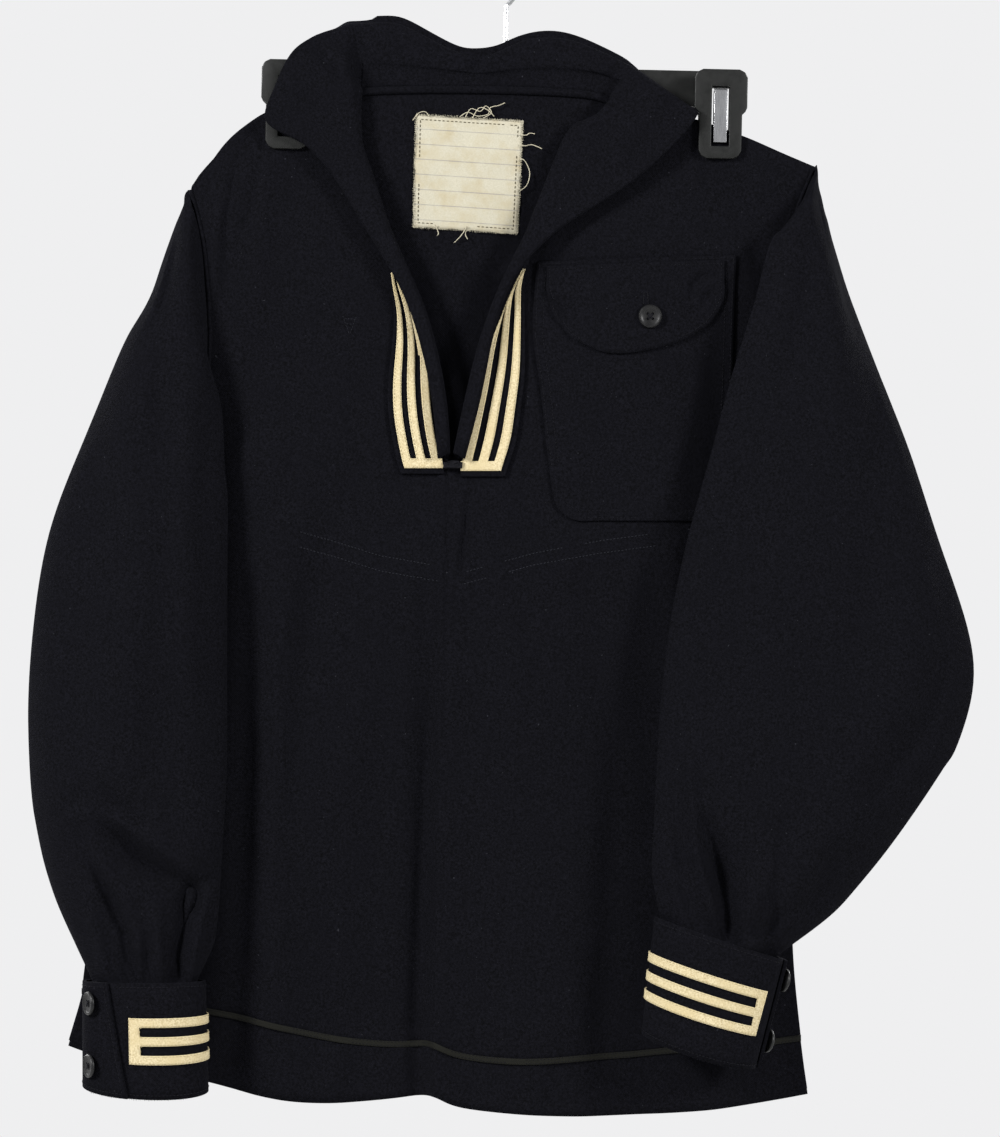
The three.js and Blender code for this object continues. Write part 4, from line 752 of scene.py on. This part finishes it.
# Buttons: turned discs with a dished face, a rim and four holes, tied on with thread.
# The profile runs from the middle of the foot to the middle of the face: (radius, height).
BUTTON_HEIGHT = 2.6
BUTTON_PROFILE = [(0, 0), (7.6, 0), (8.4, 0.5), (8.6, 1.3), (8.3, 2.1), (7.6, 2.6), (6.7, 2.55),
                  (6.1, 2.1), (5.5, 1.75), (0, 1.7)]
HOLE_OFFSET = 2.5
HOLE_RADIUS = 0.95
DRILL_LENGTH = 8
BUTTON_STEPS, HOLE_STEPS = 48, 16
BUTTON_THREAD = 0.3


def button_mesh():
    """One button standing on the origin, its face towards +Z."""
    work = bmesh.new()
    corners = [work.verts.new((r * MM, 0, z * MM)) for r, z in BUTTON_PROFILE]
    edges = [work.edges.new(pair) for pair in zip(corners, corners[1:])]
    bmesh.ops.spin(work, geom=corners + edges, axis=(0, 0, 1), cent=(0, 0, 0),
                   angle=math.tau, steps=BUTTON_STEPS)
    bmesh.ops.remove_doubles(work, verts=work.verts, dist=SAME_PLACE)
    bmesh.ops.recalc_face_normals(work, faces=work.faces)
    disc = bpy.data.objects.new("button_blank", filled_mesh(work, bpy.data.meshes.new("button")))
    bpy.context.scene.collection.objects.link(disc)
    for quarter in range(4):
        turn = math.pi * (quarter / 2 + 0.25)
        place = (HOLE_OFFSET * math.cos(turn) * MM, HOLE_OFFSET * math.sin(turn) * MM, 0)
        bpy.ops.mesh.primitive_cylinder_add(vertices=HOLE_STEPS, radius=HOLE_RADIUS * MM,
                                            depth=DRILL_LENGTH * MM, location=place)
        drill = bpy.context.active_object
        only(disc)
        modifier = disc.modifiers.new("hole", "BOOLEAN")
        modifier.object = drill
        modifier.operation = "DIFFERENCE"
        bpy.ops.object.modifier_apply(modifier=modifier.name)
        bpy.data.objects.remove(drill)
    bpy.ops.object.shade_smooth_by_angle(angle=SHARP_ANGLE)
    mesh = disc.data
    bpy.data.objects.remove(disc)
    return mesh


def tube_mesh(name, lines, radius, sides=6):
    """Thin round threads along lines of points, closed at both ends."""
    work = bmesh.new()
    for line in lines:
        points = [Vector(p) for p in line]
        rings = []
        for i, point in enumerate(points):
            ahead = (points[min(i + 1, len(points) - 1)] - points[max(i - 1, 0)]).normalized()
            aside = ahead.orthogonal().normalized()
            if rings:
                aside = (last_aside - ahead * last_aside.dot(ahead)).normalized()
            last_aside = aside
            across = ahead.cross(aside)
            rings.append([work.verts.new((point + (aside * math.cos(turn) + across * math.sin(turn))
                                          * radius) * MM)
                          for turn in [math.tau * k / sides for k in range(sides)]])
        for near, far in zip(rings, rings[1:]):
            for k in range(sides):
                work.faces.new((near[k], near[(k + 1) % sides], far[(k + 1) % sides], far[k]))
        work.faces.new(list(reversed(rings[0])))
        work.faces.new(rings[-1])
    mesh = filled_mesh(work, bpy.data.meshes.new(name))
    mesh.polygons.foreach_set("use_smooth", [True] * len(mesh.polygons))
    return mesh


def button_thread():
    """Thread that crosses a button from hole to hole and goes down to the cloth."""
    lines = []
    for turn in (0.25, 0.75):
        for lean in (-0.25, 0.25):
            a = Vector((math.cos(math.pi * turn), math.sin(math.pi * turn), 0)) * HOLE_OFFSET
            side = Vector((-a.y, a.x, 0)).normalized() * lean
            lines.append([a + side + Vector((0, 0, -0.8)), a + side + Vector((0, 0, 1.6)),
                          a * 0.7 + side + Vector((0, 0, 2.1)), side + Vector((0, 0, 2.25)),
                          -a * 0.7 + side + Vector((0, 0, 2.1)), -a + side + Vector((0, 0, 1.6)),
                          -a + side + Vector((0, 0, -0.8))])
    return tube_mesh("button_thread", lines, BUTTON_THREAD)


# Which way each button faces, and how far it is turned aside from the solid, in degrees
BUTTON_FACING = {"pocket_button": (0, -1, 0), "cuff_button_left_upper": (-1, -0.4, 0),
                 "cuff_button_left_lower": (-1, -0.4, 0), "cuff_button_right_upper": (1, -0.1, 0),
                 "cuff_button_right_lower": (1, -0.1, 0)}
BUTTON_TURN = {"cuff_button_left_upper": -20, "cuff_button_left_lower": -20}
blank = button_mesh()
thread = button_thread()
for node, hint in BUTTON_FACING.items():
    places = coordinates(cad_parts[node].data)
    middle = places.mean(axis=0)
    facing = Vector(np.linalg.svd(places - middle)[2][2])
    if facing.dot(Vector(hint)) < 0:
        facing.negate()
    facing.rotate(Matrix.Rotation(math.radians(BUTTON_TURN.get(node, 0)), 3, "Z"))
    turn = facing.to_track_quat("Z", "Y").to_matrix().to_4x4()
    foot = Vector(middle) - facing * BUTTON_HEIGHT / 2
    if node == "pocket_button":
        foot.y += on_front.shift(foot.x, foot.z)
    place = Matrix.Translation(foot * MM) @ turn
    for part, mesh, material, slot in (("disc", blank, BUTTON, "button"),
                                       ("thread", thread, DARK_THREAD, "dark_tape")):
        shaped = mesh.copy()
        shaped.transform(place)
        piece = new_piece(f"{node}_{part}", shaped, material)
        if part == "disc":
            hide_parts(node)


# Sewing
def edge_loops(node, outward):
    """Corner loops round the outer side of a wall node: lists of (place, normal)."""
    work = bmesh.new()
    work.from_mesh(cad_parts[node].data)
    bmesh.ops.remove_doubles(work, verts=work.verts, dist=SAME_PLACE)
    work.normal_update()
    outer = [f for f in work.faces if f.normal.dot(outward(f.calc_center_median() / MM)) > 0.5]
    side = set(outer)
    following = {}
    for face in outer:
        for loop in face.loops:
            if not any(f in side for f in loop.edge.link_faces if f != face):
                following[loop.vert] = (loop.link_loop_next.vert, face)
    loops = []
    while following:
        start = next(iter(following))
        corner = start
        line = []
        while corner in following:
            ahead, face = following.pop(corner)
            line.append((corner.co / MM, face.normal.copy()))
            corner = ahead
        if len(line) > 3:
            loops.append(line)
    work.free()
    return loops


SHARPEST = 0.35


def inset_loop(loop, inset):
    """The same loop moved inwards over the surface, by the same distance from every side."""
    moved = []
    count = len(loop)
    for i in range(count):
        (before, _), (place, normal), (after, _) = loop[i - 1], loop[i], loop[(i + 1) % count]
        arriving = (place - before).normalized()
        leaving = (after - place).normalized()
        first = normal.cross(arriving).normalized()
        second = normal.cross(leaving).normalized()
        share = max(SHARPEST, 1 + first.dot(second))
        moved.append(place + (first + second) * inset / share)
    return moved


def walked(points, step, closed):
    """Places at an even step along a line of points."""
    line = [Vector(p) for p in points]
    if closed:
        line.append(line[0])
    places = []
    run = 0
    goal = step / 2
    for a, b in zip(line, line[1:]):
        length = (b - a).length
        while length > 0 and goal <= run + length:
            places.append((a.lerp(b, (goal - run) / length), (b - a).normalized()))
            goal += step
        run += length
    return places


STITCH_SIDES = 4


def add_stitch(work, place, along, normal, length, radius):
    """One sewn stitch: a little grain of thread, pointed where it goes into the cloth."""
    across = normal.cross(along).normalized()
    rings = []
    for share, size in ((-0.5, 0), (-0.28, 1), (0.28, 1), (0.5, 0)):
        centre = place + along * length * share + normal * radius * (0.7 if size else -0.3)
        if size:
            rings.append([work.verts.new((centre + (across * math.cos(t) + normal * math.sin(t))
                                          * radius) * MM)
                          for t in [math.tau * k / STITCH_SIDES for k in range(STITCH_SIDES)]])
        else:
            rings.append([work.verts.new(centre * MM)])
    tip, near, far, end = rings
    for k in range(STITCH_SIDES):
        after = (k + 1) % STITCH_SIDES
        work.faces.new((near[k], tip[0], near[after]))
        work.faces.new((near[k], near[after], far[after], far[k]))
        work.faces.new((far[k], far[after], end[0]))


def stitches(name, lines, over, material, slot, closed=False, pitch=2.6, length=1.9,
             radius=0.27):
    """Rows of stitches on a dressed piece, each laid on its nearest surface."""
    tree = tree_of(over.data)
    work = bmesh.new()
    for line in lines:
        for place, along in walked(line, pitch, closed):
            found, normal, _, _ = tree.find_nearest(place)
            if found is None:
                continue
            flat = (along - normal * along.dot(normal)).normalized()
            add_stitch(work, found, flat, normal, length, radius)
    bmesh.ops.recalc_face_normals(work, faces=work.faces)
    return new_piece(name, filled_mesh(work, bpy.data.meshes.new(name)), material)


def to_front(place):
    return Vector((0, -1, 0))


def to_back(place):
    return Vector((0, 1, 0))


def from_axis(x, y):
    """Outward direction from a cuff's own upright axis."""
    def outward(place):
        return Vector((place.x - x, (place.y - y) * 2.2, 0)).normalized()
    return outward


def sew_edge(node, piece, outward, insets, thread=DARK_THREAD, slot="dark_tape", **stitch):
    """Stitches round a node's outer side, in rows set in from its edge."""
    rows = [inset_loop(loop, inset) for loop in edge_loops(node, outward) for inset in insets]
    stitches(f"sewing_{node}", rows, piece, thread, slot, closed=True, **stitch)


def on_surface(tree, lines):
    """Lines of (x, z) with the depth of the surface that they lie on."""
    return [[(x, depth_at(tree, x, z), z) for x, z in line] for line in lines]


TAPE_INSETS = [0.8]
FINE_THREAD = 0.2
CUFF_AXES = {"left": (-259, -58), "right": (144, -62)}
cream = {"thread": TAPE_THREAD, "slot": "cream_tape", "radius": FINE_THREAD}
for side, piece in zip(SIDES, end_tapes):
    sew_edge(f"collar_tape_{side}", piece, to_front, TAPE_INSETS, **cream)
for side, piece in zip(SIDES, cuff_tapes):
    sew_edge(f"cuff_tape_{side}", piece, from_axis(*CUFF_AXES[side]), TAPE_INSETS, **cream)
for name, piece in zip(("outer", "middle", "inner"), flap_tapes):
    sew_edge(f"flap_tape_{name}", piece, to_back, TAPE_INSETS, **cream)
sew_edge("hem_tape_front", hem_front, to_front, TAPE_INSETS, radius=FINE_THREAD)
sew_edge("hem_tape_back", hem_back, to_back, TAPE_INSETS, radius=FINE_THREAD)
sew_edge("pocket", pocket, to_front, insets=[2, 7])
sew_edge("pocket_flap", pocket_flap, to_front, insets=[2.4])
stitches("sewing_yoke", on_surface(on_front.dressed, YOKE_LINES), front, WORN_THREAD, "dark_tape",
         radius=0.33)
sew_edge("label", label, to_front, insets=[3.4], thread=BROWN_THREAD, pitch=3.1, length=2.3,
         radius=0.3)
for side, piece in zip(SIDES, (cuff_left, cuff_right)):
    sew_edge(f"cuff_{side}", piece, from_axis(*CUFF_AXES[side]), insets=[3])


# Armhole seams: a felled ridge of cloth that covers the join of sleeve and body
ARMHOLES = {
    "left": [(-231, -183), (-223, -215), (-219, -245), (-217, -293), (-221, -333), (-234, -358),
             (-252, -374), (-272, -384)],
    "right": [(223, -166), (212, -195), (203, -228), (197, -286), (200, -333), (209, -355),
              (219, -368), (228, -376)],
}
SEAM_RADIUS, SEAM_INSIDE, SEAM_WANDER, SEAM_WAVE = 1.5, 1.2, 0.7, 9


def finer(points, parts):
    """Curve through points, with the same number of parts in each span."""
    line = [points[0], *points, points[-1]]
    result = []
    for a, b, c, d in zip(line, line[1:], line[2:], line[3:]):
        for i in range(parts):
            t = i / parts
            result.append(tuple(0.5 * (2 * q + (r - p) * t + (2 * p - 5 * q + 4 * r - s) * t * t
                                       + (3 * q - p - 3 * r + s) * t ** 3)
                                for p, q, r, s in zip(a, b, c, d)))
    return result + [points[-1]]


for side, armhole in ARMHOLES.items():
    for panel, laid, facing in (("front", on_front, -1), ("back", on_back, 1)):
        inward = 1 if side == "left" else -1
        line = []
        for x, z in finer(armhole, 6):
            y = depth_at(laid.dressed, x + inward * SEAM_INSIDE, z, facing)
            if y is not None:
                wobble = noise.noise(Vector((x, z, facing * 3)) / SEAM_WAVE) * SEAM_WANDER
                line.append((x + inward * 0.2 + wobble, y + facing * 0.1, z))
        mesh = tube_mesh(f"seam_{side}_{panel}", [line], SEAM_RADIUS, 10)
        new_piece(f"seam_armhole_{side}_{panel}", mesh, WOOL)


# The collar's inner seam: a bound edge that closes the neck against the back
NECK_BACK = [(-118, -117), (-104, -112), (-28, -110.5), (55, -114), (81, -123)]
NECK_SEAM_RADIUS, NECK_SEAM_PROUD, NECK_SEAM_FOOT, NECK_DEPTH = 2.9, 0.6, 3, -11
line = [(x, (depth_at(inside_back.dressed, x, z - NECK_SEAM_FOOT) or NECK_DEPTH)
         - NECK_SEAM_PROUD, z + NECK_SEAM_PROUD) for x, z in finer(NECK_BACK, 8)]
new_piece("seam_neck_back", tube_mesh("seam_neck_back", [line], NECK_SEAM_RADIUS, 10), WOOL)

# Loose threads round the label, and its fringe, [x, z] with a rise over the label
LABEL_THREADS = [
    [(-34.8, -129.8), (-29, -126.6), (-22, -129.4), (-14.5, -128), (-13, -123.3), (-7, -121.8),
     (-2.2, -119.6)],
    [(-31, -130.5), (-27, -124), (-20, -126), (-16, -122), (-12, -127), (-18, -131)],
    [(-26, -131), (-21, -123.5), (-15, -125), (-10, -129.6)],
    [(-69.3, -132.5), (-65, -127.2), (-60, -126.4), (-57.3, -129.6)],
    [(9, -143), (13.3, -143.3), (16, -141.8), (19.4, -142.4)],
    [(9, -150), (12.2, -151.2), (17.6, -150.3), (24.7, -153.3)],
    [(8.6, -160.6), (12.2, -162), (15.8, -170.2), (14, -179.2), (9, -183.5)],
    [(-53, -208), (-52.4, -209.7), (-50.6, -214.6), (-51.5, -216.4)],
    [(-30, -209.5), (-30.9, -211.5), (-34.5, -216.9), (-39.2, -221.6)],
    [(-29, -210), (-31, -215), (-29.4, -219)],
]
THREAD_RADIUS = 0.32
label_front = coordinates(label.data)[:, 1].min()
lines = []
for i, path in enumerate(LABEL_THREADS):
    rise = 0.5 + 0.35 * (i % 3)
    bent = finer([(x, label_front - rise, z) for x, z in path], 6)
    lines.append([(x, y - 0.8 * math.sin(k * 0.5 + i), z) for k, (x, y, z) in enumerate(bent)])
new_piece("label_loose_threads", tube_mesh("loose", lines, THREAD_RADIUS), LABEL_THREAD)


def fringe(name, path, outward, length, pitch, radius, material, seed):
    """Short fibres that stand out from an edge, uneven in length and lean."""
    fibres = []
    for i, (place, along) in enumerate(walked(path, pitch, False)):
        lean = noise.noise(Vector((i * 0.61, seed, 0.5))) * 0.9
        reach = length * (0.55 + 0.9 * abs(noise.noise(Vector((i * 0.37, seed + 4, 0.5)))))
        tip = place + (outward + along * lean).normalized() * reach
        middle = place.lerp(tip, 0.5) + Vector((0, -0.25, 0)) + along * lean * 0.2
        fibres.append([place - outward * 0.8, middle, tip])
    return new_piece(name, tube_mesh(name, fibres, radius, 4), material)


label_edge = [Vector((x, label_front + 0.5, z)) for x, z in LABEL_CORNERS]
for i, (start, end) in enumerate(zip(label_edge, label_edge[1:] + label_edge[:1])):
    along = (end - start).normalized()
    fringe(f"label_fringe_{i}", [start, end], Vector((-along.z, 0, along.x)), length=1.1,
           pitch=1.15, radius=0.17, material=LABEL_THREAD, seed=i)


# Worn lower edges of the cuffs
EDGE_STEP, EDGE_INSIDE, EDGE_PARTS = 0.5, 0.6, 20
CUFF_FOOT = -862


def lower_edge(piece, start, end):
    """Points along a cuff's lower front edge, between two values of x."""
    tree = tree_of(piece.data)
    path = []
    for x in np.linspace(start, end, EDGE_PARTS + 1):
        z = CUFF_FOOT
        while depth_at(tree, x, z) is None:
            z += EDGE_STEP
        path.append((x, depth_at(tree, x, z) + EDGE_INSIDE, z + EDGE_STEP))
    return path


for side, piece, start, end in (("left", cuff_left, -301, -221), ("right", cuff_right, 100, 166)):
    fringe(f"cuff_fringe_{side}", lower_edge(piece, start, end), Vector((0, -0.2, -1)), length=1.5,
           pitch=1.3, radius=0.16, material=WORN_THREAD, seed=21)

# The third row of tape on the left end runs up to a point beside the second
TIP_PATH = [(-70.8, -272.5), (-68.6, -280), (-66.3, -288), (-64.2, -296), (-62.6, -304)]
TIP_WIDTHS = [0.4, 1.6, 2.8, 3.9, 4.6]
TIP_RISES = (1.35, 0.1)
TIP_DEPTH = -22


def add_tip():
    tree = tree_of(ends[0].data)
    work = bmesh.new()
    rows = []
    for (x, z), width in zip(TIP_PATH, TIP_WIDTHS):
        row = []
        for side in (-0.5, 0, 0.5):
            y = depth_at(tree, x + width * side, z) or TIP_DEPTH
            row.append([work.verts.new(Vector((x + width * side, y - rise, z)) * MM)
                        for rise in TIP_RISES])
        rows.append(row)
    for a, b in zip(rows, rows[1:]):
        for k in range(2):
            work.faces.new((a[k][0], a[k + 1][0], b[k + 1][0], b[k][0]))
            work.faces.new((a[k][1], b[k][1], b[k + 1][1], a[k + 1][1]))
        work.faces.new((a[0][0], b[0][0], b[0][1], a[0][1]))
        work.faces.new((a[2][0], a[2][1], b[2][1], b[2][0]))
    for row, flip in ((rows[0], False), (rows[-1], True)):
        for k in range(2):
            corners = [row[k][0], row[k][1], row[k + 1][1], row[k + 1][0]]
            work.faces.new(list(reversed(corners)) if flip else corners)
    mesh = filled_mesh(work, bpy.data.meshes.new("tape_tip"))
    new_piece("tape_tip_left", mesh, TAPE)


add_tip()

# A small mend on the left breast, the buttonhole's end, and the tack's loose loops
MEND = [[(-120, -275), (-115, -289)], [(-110, -276), (-115, -289)], [(-119, -277), (-111, -278)],
        [(-117.5, -281), (-113, -281.5)]]
stitches("sewing_mend", on_surface(on_front.dressed, MEND), front, WORN_THREAD, "dark_tape",
         pitch=2.3, length=1.8, radius=FINE_THREAD)
BUTTONHOLE = [[(101.2, -259), (101.6, -267)], [(98.6, -259), (98.2, -267)],
              [(98.4, -258.6), (101.4, -258.6)]]
stitches("sewing_buttonhole", on_surface(tree_of(pocket_flap.data), BUTTONHOLE), pocket_flap,
         DARK_THREAD, "dark_tape", pitch=0.9, length=1.5, radius=0.3)
TACK_CENTRE = (-40, -383)
TACK_LOOPS, TACK_POINTS, TACK_TURN, TACK_STEP = 7, 9, 0.9, 0.75
TACK_SPREAD, TACK_WIDTH, TACK_HEIGHT = 3.2, 1.25, 0.6
tack_front = coordinates(tack.data)[:, 1].min()
lines = []
for i in range(TACK_LOOPS):
    turn = i * TACK_TURN
    spread = TACK_SPREAD + 2.2 * noise.noise(Vector((i * 1.7, 2.5, 0.5)))
    points = []
    for k in range(TACK_POINTS):
        a = k * TACK_STEP + turn
        points.append((TACK_CENTRE[0] + spread * TACK_WIDTH * math.cos(a),
                       tack_front - 0.4 - 0.5 * math.sin(a * 2),
                       TACK_CENTRE[1] + spread * TACK_HEIGHT * math.sin(a + turn * 0.3)))
    lines.append(finer(points, 3))
new_piece("tack_loops", tube_mesh("tack_loops", lines, 0.33, 5), DARK_THREAD)


# Floor, light and air, in metres and watts. The floor lies well below the hanging jumper.
FLOOR_DROP = 0.85
FLOOR_SIZE = 8
LIGHTS = [("key", (-2.25, -1.95, 0.9), 0.8, 117), ("fill", (2.35, -1.85, 0.5), 0.8, 68),
          ("back_left", (-2.3, 2.0, 0.7), 1.0, 48), ("back_right", (2.3, 2.1, 0.9), 1.0, 60)]
LIGHTS_AIM = Vector((0, 0, -0.45))


def add_light(name, place, size, power):
    data = bpy.data.lights.new(name, "AREA")
    data.shape = "DISK"
    data.size = size
    data.energy = power
    light = bpy.data.objects.new(name, data)
    bpy.context.scene.collection.objects.link(light)
    light.location = place
    light.rotation_euler = (LIGHTS_AIM - Vector(place)).to_track_quat("-Z", "Y").to_euler()


def add_studio():
    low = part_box("body_front")[0].z - FLOOR_DROP
    bpy.ops.mesh.primitive_plane_add(size=FLOOR_SIZE, location=(0, 0, low))
    floor = bpy.context.active_object
    floor.name = "studio_floor"
    material, tree, shader, _ = new_material("pale_painted_floor")
    fill(tree, shader, {"Base Color": colour("#d2d2d0"), "Roughness": 0.9})
    floor.data.materials.append(material)
    world = bpy.data.worlds.new("pale_air")
    world.use_nodes = True
    tree = world.node_tree
    aim = add_node(tree, "TexCoord", {}, "Generated")
    forward = add_node(tree, "SeparateXYZ", {0: aim}, "Y")
    share = add_node(tree, "MapRange", {"Value": forward, "From Min": -0.7, "From Max": 0.5})
    shade = add_node(tree, "Mix", {
        SHARE: share, FIRST: colour("#a4a4a6"), SECOND: colour("#efeff0")}, MIXED,
        data_type="RGBA")
    fill(tree, tree.nodes["Background"], {"Color": shade})
    bpy.context.scene.world = world
    for light in LIGHTS:
        add_light(*light)
    bpy.context.scene.view_settings.view_transform = "Standard"


add_studio()
